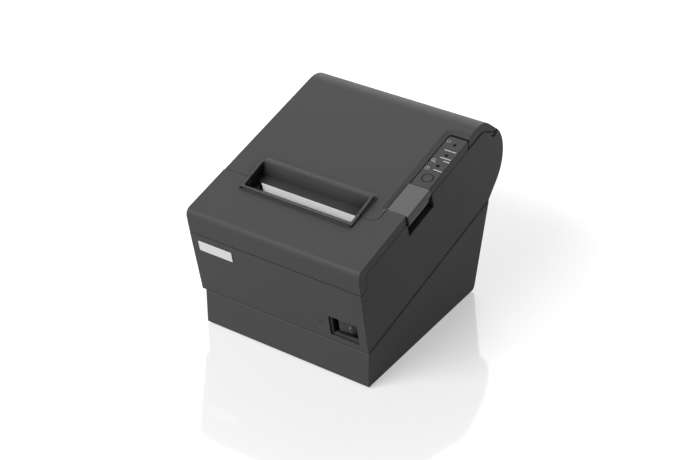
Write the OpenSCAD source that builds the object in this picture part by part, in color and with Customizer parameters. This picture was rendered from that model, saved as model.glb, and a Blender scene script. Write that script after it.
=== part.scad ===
// Receipt printer with a drop-in paper roll, a hinged roll cover, a sliding
// cutter cover and a thermal print mechanism.
// Every piece is drawn in the case frame: X across, Y back from the front of
// the underside, Z up from the surface that the feet stand on. in_case() then
// moves it so that the origin lies below the middle of the printer.

/* [Case] */
// Width of the case
case_w = 145; // [142:0.5:150]
// Wall of the case and its covers
wall = 2.2; // [1.8:0.1:2.8]
// Height of the rubber feet below the case
foot_h = 1.2; // [1:0.1:2.5]
// Height of the front of the lower case
base_h = 29.5; // [27:0.5:32]
// Length of the underside
base_len = 146.5; // [144:0.5:150]
// How far the lower case sits in from the left side
base_inset = 3.5; // [0:0.5:4]
// Step between the lower and the upper case
ledge = 0.4; // [0.2:0.1:0.8]
// How far the front panel leans forward over its height
front_lean = 10.8; // [6:0.2:12]
// Height where the front panel meets the cutter cover
front_z = 84.4; // [82:0.2:87]
// Height of the sloping top above the front of the underside
top_z = 106.6; // [105:0.2:110]
// Slope of the top and of the case parting, in degrees
slope = 14.6; // [13:0.1:16]
// Front edge of the sloping top
lip_y = -13.6; // [-15:0.2:-12]
// Radius of the front edge of the top
lip_r = 5.5; // [3:0.5:8]
// Where the slope would end over the rear
crest_y = 148.6; // [147:0.2:151]
// Radius over the rear of the top
crest_r = 22; // [16:1:26]
// Rearmost face of the case
rear_y = 180.7; // [179:0.1:184]
// Height where the rear shoulder turns down
shoulder_z = 120.8; // [119:0.2:123]
// Radius of the rear shoulder
shoulder_r = 32; // [26:1:33]
// Height where the rear turns in below
tail_z = 92.6; // [91:0.2:95]
// Radius of the rear below the shoulder
tail_r = 30; // [24:1:31]
// Where the rear face meets the case parting
kink_y = 162.2; // [161:0.1:164]

/* [Covers] */
// Gap at the seams between covers and case
seam_gap = 0.5; // [0.4:0.05:0.7]
// Depth of the covers' side skirts
skirt_h = 7; // [6:0.2:9]
// Width of the cutter cover's skirt down the front
skirt_front = 6.4; // [5:0.2:8]
// Seam between the cutter cover and the roll cover
seam_y = 32; // [31.4:0.1:32.8]
// Radius of the roll cover's hinge barrel
barrel_r = 3; // [2.8:0.1:3.4]
// Distance along the rear slope from the crest to the hinge barrel
barrel_run = 23; // [20:0.5:24]
// How far the roll cover opens, in degrees
open_angle = 80; // [60:1:84]
// Radius of the hinge pins
hinge_pin_r = 1.25; // [1:0.05:1.5]
// Length of each hinge pin
hinge_pin_l = 22; // [18:1:26]
// Width of the case's hinge knuckles
knuckle_w = 8; // [6:0.5:10]
// Distance of the knuckles from the middle
knuckle_x = 52; // [40:1:54]

/* [Outlet] */
// Middle of the paper path, across
paper_x = -3.5; // [-4.5:0.1:-2.5]
// Width of the outlet
outlet_w = 90; // [88:0.5:92]
// Front edge of the outlet
outlet_front = 22.7; // [21:0.1:24]
// Rear edge of the outlet
outlet_rear = 47; // [46:0.1:48]
// Rise of the outlet's rim at the rear
rim_rear_h = 3.4; // [2:0.1:4]
// Rise of the outlet's rim at the front
rim_front_h = 1.2; // [0.8:0.1:1.6]
// Width of the rim
rim_w = 1.4; // [1:0.1:2]
// Width of the rim's outer flank
rim_flank = 3.2; // [2:0.1:4]
// Radius of the rim's corners
rim_corner = 2.4; // [1:0.1:3.5]
// Radius of the outlet's corners
outlet_corner = 2; // [1:0.1:3]
// Depth of the outlet's ledge below the top
ledge_drop = 6.8; // [6:0.1:7.4]
// Gap between the paper and the ledge's front edge
slot_w = 1.6; // [1.2:0.1:2]

/* [Lever and panel] */
// Width of the lever and the control panel
panel_w = 15.2; // [14:0.1:16]
// How far the control panel lies below the top
panel_drop = 1.2; // [0.8:0.1:1.6]
// Rear end of the control panel
panel_rear = 126.6; // [124:0.2:128]
// Width of the bevel beside the panel
bevel_w = 4; // [3:0.1:5]
// Radius of the panel's rear corner
panel_corner = 2.2; // [1:0.1:3]
// Front end of the lever
lever_front = 45.2; // [43:0.1:46]
// Length of the lever
lever_l = 29.2; // [26:0.2:30]
// Thickness of the lever's top
lever_t = 2.4; // [2:0.1:3]
// How far the lever stands out from the side of the case
lever_proud = 1; // [0.6:0.1:1.6]
// Height of the lever's flange
flange_h = 11.5; // [9:0.1:12]
// How far the flange turns in towards its lower edge
flange_tuck = 1.7; // [1:0.1:2]
// How far the flange's lower part ends before the lever's rear
flange_step = 3; // [2:0.1:4]
// Height of the pocket below the flange
pocket_h = 7.8; // [7:0.1:10]
// Depth of the pocket into the side of the case
pocket_d = 5; // [4.6:0.1:6]
// How far the pocket reaches behind the lever
pocket_tail = 3; // [2:0.1:4]
// Radius of the lever's pin
lever_pin_r = 1.2; // [0.8:0.05:1.5]
// Radius of the feed button
button_r = 3.9; // [3.4:0.1:4.2]
// Place of the feed button along the case
button_y = 83.2; // [81:0.1:84]
// Radius of the lamp holes
lamp_r = 1.1; // [0.8:0.1:1.4]
// Spacing of the lamps along the panel
lamp_pitch = 11.4; // [10:0.1:12]
// Place of the first lamp
lamp_y = 96.3; // [94:0.1:97]

/* [Front] */
// Width of the badge plate
badge_w = 29.5; // [20:0.5:32]
// Height of the badge plate
badge_h = 8.9; // [7:0.1:10]
// Left end of the badge plate, from the left side
badge_x = 6.2; // [5:0.1:10]
// Height of the badge plate's lower edge up the panel
badge_z = 40.6; // [36:0.2:42]
// Radius of the badge plate's corners
badge_r = 0.8; // [0.4:0.1:2]
// Width of the power switch opening
switch_w = 22; // [19:0.1:23]
// Height of the power switch opening
switch_h = 16.6; // [14:0.1:18]
// Gap from the power switch opening to the right side
switch_margin = 7; // [6:0.1:9]
// Height of the switch opening up the panel
switch_z = 7.1; // [6.5:0.1:10]
// Width of the shelf left of and below the switch opening
switch_shelf = 1.7; // [1:0.1:3]
// Depth of the shelf beside the switch opening
switch_recess = 1.5; // [1:0.1:1.8]
// Radius of the switch recess's corners
switch_corner = 1.4; // [0.8:0.1:2]
// How far the power switch's rocker is tilted, in degrees
rocker_tilt = 9; // [6:1:12]

/* [Print mechanism] */
// Width of the paper
paper_w = 79.5; // [79:0.5:80]
// Thickness that the paper is drawn with
paper_t = 0.3; // [0.2:0.05:0.4]
// Place of the paper as it leaves, up the slope
paper_s = 36.5; // [36:0.1:37]
// Depth of the platen's axis below the top
platen_drop = 23.5; // [23:0.1:24]
// Radius of the platen roller
platen_r = 6.2; // [6:0.05:6.4]
// Width of the platen roller
platen_w = 82; // [81:0.5:83]
// Radius of the platen shaft
shaft_r = 2; // [1.6:0.1:2.4]
// Radius of the bushes on the platen shaft
bush_r = 4; // [3.6:0.1:4.4]
// Running clearance of shafts in their holes
run_clear = 0.05; // [0.02:0.01:0.08]
// Module of the gears
gear_m = 0.7; // [0.65:0.01:0.72]
// Teeth of the platen gear
platen_teeth = 24; // [22:1:25]
// Teeth of the reduction gear
reduction_teeth = 40; // [38:1:41]
// Teeth of the motor pinion
pinion_teeth = 12; // [11:1:13]
// Width of the gears
gear_w = 4; // [3:0.5:4.5]
// Radius of the feed motor
motor_r = 11; // [9:0.5:11.5]
// Length of the feed motor
motor_l = 22; // [18:1:26]
// Thickness of the mechanism's side plates
plate_t = 1.5; // [1.2:0.1:1.8]
// Height of the paper's edge above the outlet's slot
paper_rise = 1; // [0:0.1:2]

/* [Cutter] */
// Depth of the moving blade below the top
blade_drop = 14.4; // [14.2:0.1:14.8]
// Thickness of the blades
blade_t = 0.8; // [0.6:0.05:0.9]
// Stroke of the moving blade
blade_stroke = 4.5; // [4:0.1:4.8]
// Teeth of the cutter's pinion
dial_teeth = 14; // [13:1:15]
// Radius of the cutter's hand dial
dial_r = 8.5; // [7:0.5:9]

/* [Paper roll] */
// Radius of the paper roll
roll_r = 38; // [30:0.5:39]
// Inner radius of the paper bin
bin_r = 42.5; // [41.5:0.5:43]
// Middle of the paper bin along the case
bin_y = 100; // [99:0.5:102]
// Clearance between the paper bin and what lies below it
bin_clear = 2.2; // [1.5:0.1:4]
// Radius of the roll's core
core_r = 9; // [8:0.5:10]
// Wall of the roll's core
core_t = 1.8; // [1.2:0.2:3]

/* [Sockets] */
// Width of the rear connector bay
bay_w = 84; // [80:1:90]
// Height of the rear connector bay
bay_h = 17; // [16:0.5:18]
// Height of the bay's sill
bay_z = 7.5; // [7:0.5:9]
// How far the connector plate lies in from the rear of the underside
bay_depth = 7; // [6:0.5:8]
// Height of the boards above the floor of the case
board_rise = 5; // [4:0.5:8]
// Thickness of the circuit boards
board_t = 1.6; // [1:0.2:2]
// Depth of the sockets
socket_d = 13; // [10:0.5:16]

/* [Fastenings] */
// Radius of the case screws
screw_r = 1.5; // [1.2:0.1:2]
// Radius of the case screws' heads
screw_head_r = 2.8; // [2.4:0.1:3.2]
// Distance of the case screws from the sides
screw_inset = 5.8; // [5.6:0.1:7]
// Radius of the rubber feet
foot_r = 5; // [4:0.5:6]
// Distance of the feet from the sides
foot_inset = 7; // [6.8:0.1:9]

/* [Hidden] */
$fn = 64;

charcoal = "#3f4043";
black = "#1b1c1e";
grey = "#8a8c8f";
steel = "#b9bcc0";
white = "#f4f4f2";
green = "#1f5a3a";
ivory = "#e6e2d6";

// ---- outlines with true arcs -------------------------------------------

function flat(p) = [p[0], p[1]];
function unit(v) = v / norm(v);
function left_of(v) = [-v[1], v[0]];
function turn_of(u, w) = u[0] * w[1] - u[1] * w[0];
function before(p, i) = flat(p[(i + len(p) - 1) % len(p)]);
function after(p, i) = flat(p[(i + 1) % len(p)]);

// One corner of an outline: where its arc starts and ends, the arc's centre,
// its radius, and 1 for an outer corner or -1 for an inner one.
function corner(p, i) =
    let (
        b = flat(p[i]),
        u = unit(b - before(p, i)),
        w = unit(after(p, i) - b),
        side = turn_of(u, w) < 0 ? -1 : 1,
        run = p[i][2] * tan(acos(min(1, u * w)) / 2)
    )
    [b - u * run, b + w * run, b - u * run + side * p[i][2] * left_of(u), p[i][2], side];

// The same outline moved in by d, with its arcs kept concentric.
function inset(p, d) = [
    for (i = [0 : len(p) - 1])
        let (
            b = flat(p[i]),
            u = unit(b - before(p, i)),
            w = unit(after(p, i) - b),
            side = turn_of(u, w) < 0 ? -1 : 1,
            q = b + d * (left_of(u) + left_of(w)) / (1 + left_of(u) * left_of(w))
        )
        [q[0], q[1], p[i][2] == 0 ? 0 : max(0, p[i][2] - side * d)]
];

// Draws an outline of [x, y, radius] corners, given counter-clockwise.
module rounded(p) {
    k = [for (i = [0 : len(p) - 1]) corner(p, i)];
    difference() {
        union() {
            polygon([for (c = k) each (c[3] > 0 ? [c[0], c[1]] : [c[0]])]);
            for (c = k) if (c[3] > 0 && c[4] > 0) translate(c[2]) circle(r = c[3]);
        }
        for (c = k) if (c[3] > 0 && c[4] < 0) translate(c[2]) circle(r = c[3]);
    }
}

function box_outline(x0, y0, x1, y1, r) = [[x0, y0, r], [x1, y0, r], [x1, y1, r], [x0, y1, r]];

// ---- frames ---------------------------------------------------------------

function top_at(y) = top_z + y * tan(slope);
function parting_at(y) = base_h + y * tan(slope);

side_l = -case_w / 2;
side_r = case_w / 2 - ledge;
base_l = side_l + base_inset;
base_r = case_w / 2;
lean = atan(front_lean / (front_z - base_h));
crest = [crest_y, top_at(crest_y)];
shoulder = [rear_y, shoulder_z];

upper_side = [
    [ledge, base_h, 0],
    [ledge, foot_h, 0],
    [base_len, foot_h, 0],
    [kink_y, parting_at(kink_y), 0],
    [rear_y, tail_z, tail_r],
    [rear_y, shoulder_z, shoulder_r],
    [crest_y, top_at(crest_y), crest_r],
    [lip_y, top_at(lip_y), lip_r],
    [ledge - front_lean, front_z, 0]
];
rear_run = [kink_y - base_len, parting_at(kink_y) - foot_h];
base_side = [
    [0, foot_h, 1],
    [base_len, foot_h, 4],
    [base_len + 1.3 * rear_run[0], foot_h + 1.3 * rear_run[1], 0],
    [0, foot_h + 1.3 * rear_run[1], 0]
];
lip_corner = corner(upper_side, 7);
case_mid = (rear_y + lip_corner[2][0] - lip_r) / 2;

// Hinge of the roll cover, one barrel radius below the rear slope.
rear_dir = unit(shoulder - crest);
hinge = crest + rear_dir * barrel_run - left_of(rear_dir) * barrel_r;
// The cover's rear slope swings against the case edge at open_angle, so the
// trough round the barrel keeps the edge that far away.
trough_r = barrel_r / cos(open_angle / 2) + 0.2;

// Side view of everything above the seam between covers and case.
seam_rear_y = crest_y - 1;
cover_side = [
    [lip_y - 20, front_z, 0],
    [ledge - front_lean + skirt_front, front_z, 3],
    [ledge - front_lean + skirt_front, top_at(ledge - front_lean + skirt_front) - skirt_h, 4],
    [seam_rear_y, top_at(seam_rear_y) - skirt_h - 1.6, 10],
    [hinge[0], hinge[1], 0],
    [hinge[0] + 40 * left_of(rear_dir)[0], hinge[1] + 40 * left_of(rear_dir)[1], 0],
    [lip_y - 20, hinge[1] + 60, 0]
];

lever_side = base_r + lever_proud;
case_mid_x = (lever_side - case_w / 2) / 2;

module in_case() {
    translate([-case_mid_x, -case_mid, 0]) children();
}

// Extrudes a side view, drawn in Y and Z, from x0 to x1.
module across(x0, x1) {
    translate([x0, 0, 0]) rotate([90, 0, 90]) linear_extrude(x1 - x0) children();
}

// Puts children on the sloping top at y, their Z along its normal.
module on_top(y) {
    translate([0, y, top_at(y)]) rotate([slope, 0, 0]) children();
}

// Puts children on the front panel, their Z up the panel and Y into it.
module on_front() {
    translate([0, ledge, base_h]) rotate([lean, 0, 0]) children();
}

// Where a point s up the slope and n above it lies, in Y and Z.
function on_slope(s, n) = [s * cos(slope) - n * sin(slope), top_z + s * sin(slope) + n * cos(slope)];

// A block in the frame of on_top(0): s up the slope, n above it.
module slope_block(x0, x1, s0, s1, n0, n1) {
    on_top(0) translate([x0, s0, n0]) cube([x1 - x0, s1 - s0, n1 - n0]);
}

// ---- derived places --------------------------------------------------------

paper_gap = 0.15;
fit_gap = 0.2;
panel_x = side_r - panel_w;
switch_x = side_r - switch_margin - switch_w;
rocker_x = switch_x + switch_w / 2;
switch_rim = 1.2;
switch_back = wall + 15;
rocker_half = switch_w / 2 - 3;
rocker_pin_r = 1.2;
switch_clear = 0.5;
badge_sink = 0.6;
badge_proud = 0.3;
outlet_l = paper_x - outlet_w / 2;
outlet_r = paper_x + outlet_w / 2;
cover_edge_x = panel_x - seam_gap;
notch_rear = panel_rear + 1.8;
roll_l = side_l + ledge;
roll_r_side = side_r - ledge;
ledge_s = paper_s + paper_t / 2 + slot_w;
guide_rear = seam_y - seam_gap / 2;
// The roll cover's front edge is turned about the hinge, clear of the cutter
// cover as it opens.
swing_clear = 0.3;

lever_s = lever_front / cos(slope);
lever_end = lever_s + lever_l;
lever_rear = lever_end - 0.4;
lever_axis_s = lever_end - 4;
lever_axis_n = -5;
lever_ear_r = 2.4;
pocket_n = -flange_h - pocket_h;
panel_s0 = lever_end + 0.3;
lamp_x = panel_x + 8.6;
button_x = panel_x + 8.3;

// Boards, sockets and the bay behind them.
case_floor = foot_h + wall;
bay_y = base_len - bay_depth;
bay_top = bay_z + bay_h;
bay_lining = 1.6;
board_z = case_floor + board_rise;
board_half = 38;
board_gap = 2;
board_y0 = 62;
board_y1 = bay_y - 0.3;
part_h = 3;
socket_z = board_z + board_t;
socket_front = bay_y + 0.6 - socket_d;
power_x = paper_x - 26;
drawer_x = paper_x - 10;
data_x = paper_x + 11;
network_x = paper_x + 27;
power_size = [14, 12];
drawer_size = [13, 12];
data_size = [12, 11];
network_size = [15, 12];
socket_top = socket_z + max(power_size[1], drawer_size[1], data_size[1], network_size[1]);
plate_screw_in = 3.4;
plate_sheet = 1;

// The round of the bin clears the sockets behind it and the parts on the boards.
bin_half = paper_w / 2 + 1.2;
bin_t = 2;
bin_back_drop = sqrt(max(0, pow(bin_r + bin_t, 2) - pow(socket_front - bin_y, 2)));
bin_z = bin_clear + max(socket_top + bin_back_drop, socket_z + part_h + bin_r + bin_t);
leg_w = 12;
leg_y = min(bay_y - 5.5 - leg_w, bin_y + 22);

platen = on_slope(paper_s + paper_t / 2 + paper_gap + platen_r, -platen_drop);
roll = [bin_y, bin_z - bin_r + roll_r + 0.3];
roll_way = roll - platen;
// Direction from the platen to where the head presses on it.
nip_angle = atan2(roll_way[1], roll_way[0]) - acos((platen_r - roll_r) / norm(roll_way));
nip_run = sqrt(norm(roll_way) * norm(roll_way) - (roll_r - platen_r) * (roll_r - platen_r));

// The platen leaves the reduction gear along the circle it swings on.
swing = unit(platen - hinge);
gear_reach = gear_m * (platen_teeth + reduction_teeth) / 2;
reduction = platen + gear_reach * left_of(swing);
pinion_reach = gear_m * (pinion_teeth + reduction_teeth) / 2;
pinion_angle = -132;
motor = reduction + pinion_reach * [cos(pinion_angle), sin(pinion_angle)];
mesh_angle = atan2(reduction[1] - platen[1], reduction[0] - platen[0]);
reduction_axle_r = 2;
motor_axle_r = 1;
motor_neck_r = 4;

// The cheeks clear both the roller and the paper.
cheek_in = max(platen_w, paper_w + 1) / 2 + 1.2;
cheek_t = 1.6;
frame_in = cheek_in + cheek_t + 1.1;
gear_x = paper_x - frame_in - plate_t - 0.6 - gear_w;
head_gap = platen_r + 2 * paper_gap + paper_t;

blade_s = paper_s - paper_t / 2 - 0.7;
blade_half = cheek_in - 0.2;
blade_front = 9;
blade_window = [paper_x - 20, paper_x + 14];
bar_s = blade_s + blade_stroke + 1;
bar_top = -ledge_drop - wall;
cut_l = paper_x - frame_in + 0.1;
cut_r = paper_x + frame_in - 0.1;
cut_n = -blade_drop - 0.1;
cut_s = 7;
cut_t = 1.2;
dial_s = 15;
dial_bore = 2;
dial_pitch = gear_m * dial_teeth / 2;
rack_x = paper_x + 26;
dial_x = rack_x + dial_pitch;

// Screws, feet and posts.
screw_y = [30, base_len - 38];
boss_r = 4;
boss_h = 12;
post_r = 3;
post_rise = 20;
screw_seat = 4.8;
foot_y = [14.5, base_len - 16];
foot_recess = 0.8;
well = [-20, 20, 34, 20];

// Paper bin.
bin_cheek_t = 1.8;
bin_rise = 48;
sensor_y = bin_y + 24;
sensor_z = roll[1] - 6;
sensor_r = 1;
sensor_arm = 16;

// ---- gears -----------------------------------------------------------------

// Outline of a spur gear; ease narrows each tooth for backlash.
module gear_outline(teeth, m, ease) {
    rp = m * teeth / 2;
    ra = rp + 0.95 * m;
    rf = rp - 1.15 * m;
    pitch = 360 / teeth;
    half = pitch / 4 - ease / rp * 180 / PI / 2;
    tip = half - 21 * m / rp;
    root = half + 21 * m / rp;
    intersection() {
        circle(r = ra);
        polygon([
            for (i = [0 : teeth - 1])
                for (c = [
                    [rf, -root], [rp, -half], [ra + 0.2, -tip], [ra + 0.2, tip], [rp, half], [rf, root]
                ])
                    let (a = i * pitch + c[1]) c[0] * [cos(a), sin(a)]
        ]);
    }
}

// A gear about X from x0, with its first tooth at the given angle.
module side_gear(centre, teeth, angle, x0, bore) {
    translate([x0, centre[0], centre[1]]) rotate([90, 0, 90]) linear_extrude(gear_w)
        difference() {
            rotate(angle) gear_outline(teeth, gear_m, 0.12);
            circle(r = bore);
        }
}

module side_rod(centre, r, x0, x1) {
    translate([x0, centre[0], centre[1]]) rotate([0, 90, 0]) cylinder(r = r, h = x1 - x0);
}

// ---- case ------------------------------------------------------------------

module below_parting() {
    polygon([[-60, -20], [260, -20], [260, parting_at(260)], [-60, parting_at(-60)]]);
}

module screw_places() {
    for (x = [base_l + screw_inset, base_r - screw_inset]) for (y = screw_y)
        translate([x, y, foot_h]) children();
}

module foot_places() {
    for (x = [base_l + foot_inset, base_r - foot_inset]) for (y = foot_y)
        translate([x, y, 0]) children();
}

module lower_case() {
    color(charcoal) in_case() difference() {
        union() {
            difference() {
                across(base_l, base_r) intersection() {
                    rounded(base_side);
                    below_parting();
                }
                across(base_l + wall, base_r - wall) rounded(inset(base_side, wall));
            }
            screw_places() cylinder(r = boss_r, h = boss_h);
            foot_places() translate([0, 0, foot_h]) cylinder(r = foot_r + 1.5, h = wall + 0.5);
            bay_walls();
        }
        screw_places() translate([0, 0, -1]) cylinder(r = screw_r + fit_gap, h = boss_h + 2);
        screw_places() translate([0, 0, -1]) cylinder(r = screw_head_r + 0.4, h = screw_seat + 1);
        foot_places() cylinder(r = foot_r, h = foot_h + foot_recess);
        // Rear connector bay.
        bay_space(0, rear_y - bay_y, 0);
        // Well for the setting switches in the underside.
        translate([well[0], well[1], 0]) cube([well[2], well[3], case_floor + 1]);
    }
}

// Space of the connector bay, from y0 to y1 behind the connector plate, grown by g.
module bay_space(y0, y1, g) {
    translate([-bay_w / 2 - g, bay_y + y0, bay_z - g]) cube([bay_w + 2 * g, y1 - y0, bay_h + 2 * g]);
}

// Lining of the bay between the connector plate and the rear wall.
module bay_walls() {
    intersection() {
        bay_space(plate_sheet + fit_gap, rear_y - bay_y, bay_lining);
        across(base_l + 1, base_r - 1) rounded(inset(base_side, 0.5));
    }
}

module switch_setting_cover() {
    color(charcoal) in_case() difference() {
        translate([well[0] + fit_gap, well[1] + fit_gap, foot_h])
            cube([well[2] - 2 * fit_gap, well[3] - 2 * fit_gap, wall - 0.4]);
        translate([well[0] + well[2] / 2, well[1] + well[3] - 4, 0])
            cylinder(r = screw_r + fit_gap, h = case_floor);
    }
}

module rubber_feet() {
    color(black) in_case() foot_places() cylinder(r = foot_r - 0.1, h = foot_h + foot_recess);
}

module case_screws() {
    color(steel) in_case() screw_places() translate([0, 0, screw_seat]) {
        translate([0, 0, -1.7]) cylinder(r = screw_head_r, h = 1.7);
        cylinder(r = screw_r, h = boss_h + 2);
    }
}

// Space of the covers, grown by g.
module cover_space(g) {
    rounded(inset(cover_side, -g));
}

module knuckles(clear) {
    for (x = [-knuckle_x, knuckle_x])
        across(x - knuckle_w / 2 - clear, x + knuckle_w / 2 + clear) children();
}

module switch_opening(d0, d1, grow) {
    on_front() translate([switch_x - grow, d0, switch_z - grow])
        cube([switch_w + 2 * grow, d1 - d0, switch_h + 2 * grow]);
}

// Draws an outline on the front panel, from d0 to d1 behind its face.
module into_front(d0, d1) {
    on_front() translate([0, d1, 0]) rotate([90, 0, 0]) linear_extrude(d1 - d0) children();
}

module upper_case() {
    color(charcoal) in_case() difference() {
        union() {
            difference() {
                across(side_l, side_r) difference() {
                    rounded(upper_side);
                    below_parting();
                    cover_space(seam_gap);
                    translate(hinge) circle(r = trough_r);
                }
                across(side_l + wall, side_r - wall) rounded(inset(upper_side, wall));
            }
            // Hinge knuckles on short arms from the rear wall.
            knuckles(0) intersection() {
                rounded(upper_side);
                union() {
                    translate(hinge) circle(r = barrel_r);
                    translate(hinge) rotate(atan2(rear_dir[1], rear_dir[0]))
                        translate([0, -1.8]) square([8, 4]);
                }
            }
            // Wall behind the lever's pocket.
            pocket_walls();
            case_posts();
            // Hood for the power switch, behind the shelf of its recess.
            switch_opening(wall - 0.2, wall + 1.6, 1.6);
            into_front(wall - 0.2, switch_recess + wall) switch_recess_outline(wall);
        }
        pocket_space();
        switch_opening(-5, 40, 0);
        into_front(-5, switch_recess) switch_recess_outline(0);
        into_front(-1, badge_sink) badge_outline(0);
        knuckles(0.1) translate(hinge) circle(r = hinge_pin_r + run_clear);
        screw_places() cylinder(r = screw_r + run_clear, h = boss_h + 8);
    }
}

// Posts that take the screws from below, on ribs from the side walls.
module case_posts() {
    rib = 1.8;
    for (side = [-1, 1]) for (y = screw_y) {
        x = side < 0 ? base_l + screw_inset : base_r - screw_inset;
        inner = side < 0 ? side_l + 1 : side_r - 1;
        low = foot_h + boss_h + fit_gap;
        top = parting_at(y) + post_rise;
        translate([x, y, low]) cylinder(r = post_r, h = top - low);
        translate([min(x, inner), y - rib / 2, parting_at(y) + 1])
            cube([abs(x - inner), rib, top - parting_at(y) - 1]);
    }
}

// The shelf round the switch opening reaches beyond it to the left and below.
module switch_recess_outline(grow) {
    rounded(box_outline(switch_x - switch_shelf - grow, switch_z - switch_shelf - grow,
        switch_x + switch_w + grow, switch_z + switch_h + grow, switch_corner));
}

module badge_outline(gap) {
    rounded(box_outline(side_l + badge_x + gap, badge_z + gap, side_l + badge_x + badge_w - gap,
        badge_z + badge_h - gap, badge_r));
}

module pocket_space() {
    slope_block(side_r - pocket_d, side_r + 5, lever_s - seam_gap, lever_end + pocket_tail,
        pocket_n, 1);
}

module pocket_walls() {
    t = 1.6;
    difference() {
        slope_block(side_r - pocket_d - t, side_r, lever_s - seam_gap - t, lever_end + pocket_tail + t,
            pocket_n - t, -flange_h - 1);
        across(side_l, side_r + 1) cover_space(seam_gap);
    }
}

module badge_plate() {
    color(white) in_case() into_front(-badge_proud, badge_sink) badge_outline(0.1);
}

module switch_housing() {
    color(black) in_case() difference() {
        switch_opening(wall + 1.6, switch_back, switch_rim);
        switch_opening(wall, switch_back - 2, 0);
        rocker_place() translate([0, 0, -switch_rim - 1])
            cylinder(r = rocker_pin_r, h = switch_h + 2 * switch_rim + 2);
    }
}

// Foot of the rocker's axis, with Z along it.
module rocker_place() {
    on_front() translate([rocker_x, wall + 7, switch_z]) children();
}

// Rocker seen from above, standing on its pivot, before its rest tilt.
module rocker_outline() {
    polygon([
        [-rocker_half, -4.6], [2.6, -5.4], [rocker_half, -3.6], [rocker_half - 0.2, -1.5], [2.6, 3.2],
        [-2.6, 3.2], [0.2 - rocker_half, -1.5]
    ]);
    circle(r = 3.2);
}

module power_rocker() {
    color(black) in_case() rocker_place() {
        rotate(rocker_tilt) translate([0, 0, 0.4]) linear_extrude(switch_h - 0.8) rocker_outline();
        translate([0, 0, -switch_rim])
            cylinder(r = rocker_pin_r - run_clear, h = switch_h + 2 * switch_rim);
    }
}

// ---- covers ----------------------------------------------------------------

// The covers' shell, with its side skirts, between x0 and x1.
module cover_shell(x0, x1) {
    difference() {
        across(x0, x1) intersection() {
            rounded(upper_side);
            cover_space(0);
        }
        across(x0 + wall, x1 - wall) rounded(inset(upper_side, wall));
    }
}

module plan(z0, z1) {
    translate([0, 0, z0]) linear_extrude(z1 - z0) children();
}

module roll_plan() {
    rounded([
        [side_l - 9, seam_y + seam_gap / 2, 0],
        [cover_edge_x, seam_y + seam_gap / 2, 5],
        [cover_edge_x, notch_rear, panel_corner + seam_gap],
        [side_r + 9, notch_rear, 0],
        [side_r + 9, 260, 0],
        [side_l - 9, 260, 0]
    ]);
}

module cutter_plan() {
    rounded([
        [side_l - 9, -60, 0],
        [side_r + 9, -60, 0],
        [side_r + 9, lever_front - seam_gap, 0],
        [cover_edge_x + seam_gap, lever_front - seam_gap, 0],
        [cover_edge_x + seam_gap, seam_y - seam_gap / 2, 5 + seam_gap],
        [side_l - 9, seam_y - seam_gap / 2, 0]
    ]);
}

function rim_h(y) =
    rim_front_h + (rim_rear_h - rim_front_h) * (y - outlet_front) / (outlet_rear - outlet_front);
function rim_z(y) = top_at(y) + rim_h(y);

rim_angle = atan((rim_z(outlet_rear) - rim_z(outlet_front)) / (outlet_rear - outlet_front));
rim_run = (outlet_rear - outlet_front) / cos(rim_angle);

// The raised rim round the outlet, before the outlet is cut through it.
module outlet_rim() {
    f = rim_w + rim_flank * rim_front_h / rim_rear_h;
    g = rim_w + rim_flank;
    r = rim_corner + rim_flank / 2;
    hull() {
        translate([0, outlet_front, rim_z(outlet_front)]) rotate([rim_angle, 0, 0])
            plan(-0.1, 0) rounded(box_outline(
                outlet_l - rim_w, -rim_w, outlet_r + rim_w, rim_run + rim_w, rim_corner), $fn = 32);
        on_top(0) plan(-0.7, -0.6) rounded([
            [outlet_l - f, (outlet_front - f) / cos(slope), r],
            [outlet_r + f, (outlet_front - f) / cos(slope), r],
            [outlet_r + g, (outlet_rear + 2 * g - rim_w) / cos(slope), r],
            [outlet_l - g, (outlet_rear + 2 * g - rim_w) / cos(slope), r]
        ], $fn = 32);
    }
}

outlet_foot_s = (outlet_rear - 2.2) / cos(slope) - 1.8;
guide_low = [guide_rear, top_at(guide_rear) - ledge_drop / cos(slope)];
swing_r = norm([guide_rear, rim_z(guide_rear)] - hinge) - swing_clear;

// Side view of the outlet's rear wall and ledge, w thick.
module outlet_ledge_side(w) {
    foot = on_slope(outlet_foot_s, -ledge_drop);
    polygon([
        on_slope(ledge_s, -ledge_drop), foot, [outlet_rear, rim_z(outlet_rear)],
        [outlet_rear + w, rim_z(outlet_rear)], foot + [w, -w], on_slope(ledge_s, -ledge_drop - w)
    ]);
}

// Space over the outlet's ledge.
module outlet_space_side() {
    polygon([
        [0, 160], [0, 90], on_slope(ledge_s, -ledge_drop - 12), on_slope(ledge_s, -ledge_drop),
        on_slope(outlet_foot_s, -ledge_drop), [outlet_rear, rim_z(outlet_rear)], [outlet_rear, 160]
    ]);
}

// Bevel that runs down to the panel, round its rear corner.
module bevel_cut() {
    s0 = lever_s - 2;
    s1 = notch_rear / cos(slope);
    r = panel_corner + seam_gap;
    hull() {
        on_top(0) plan(-panel_drop, 0.1 - panel_drop) rounded([
            [cover_edge_x - 0.1, s0 + bevel_w, 0], [side_r + 9, s0 + bevel_w, 0],
            [side_r + 9, s1, 0], [cover_edge_x - 0.1, s1, r]
        ], $fn = 32);
        on_top(0) plan(0, 3) rounded([
            [cover_edge_x - bevel_w, s0, 0], [side_r + 9, s0, 0],
            [side_r + 9, s1 + bevel_w, 0], [cover_edge_x - bevel_w, s1 + bevel_w, r + bevel_w]
        ], $fn = 32);
    }
}

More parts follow.
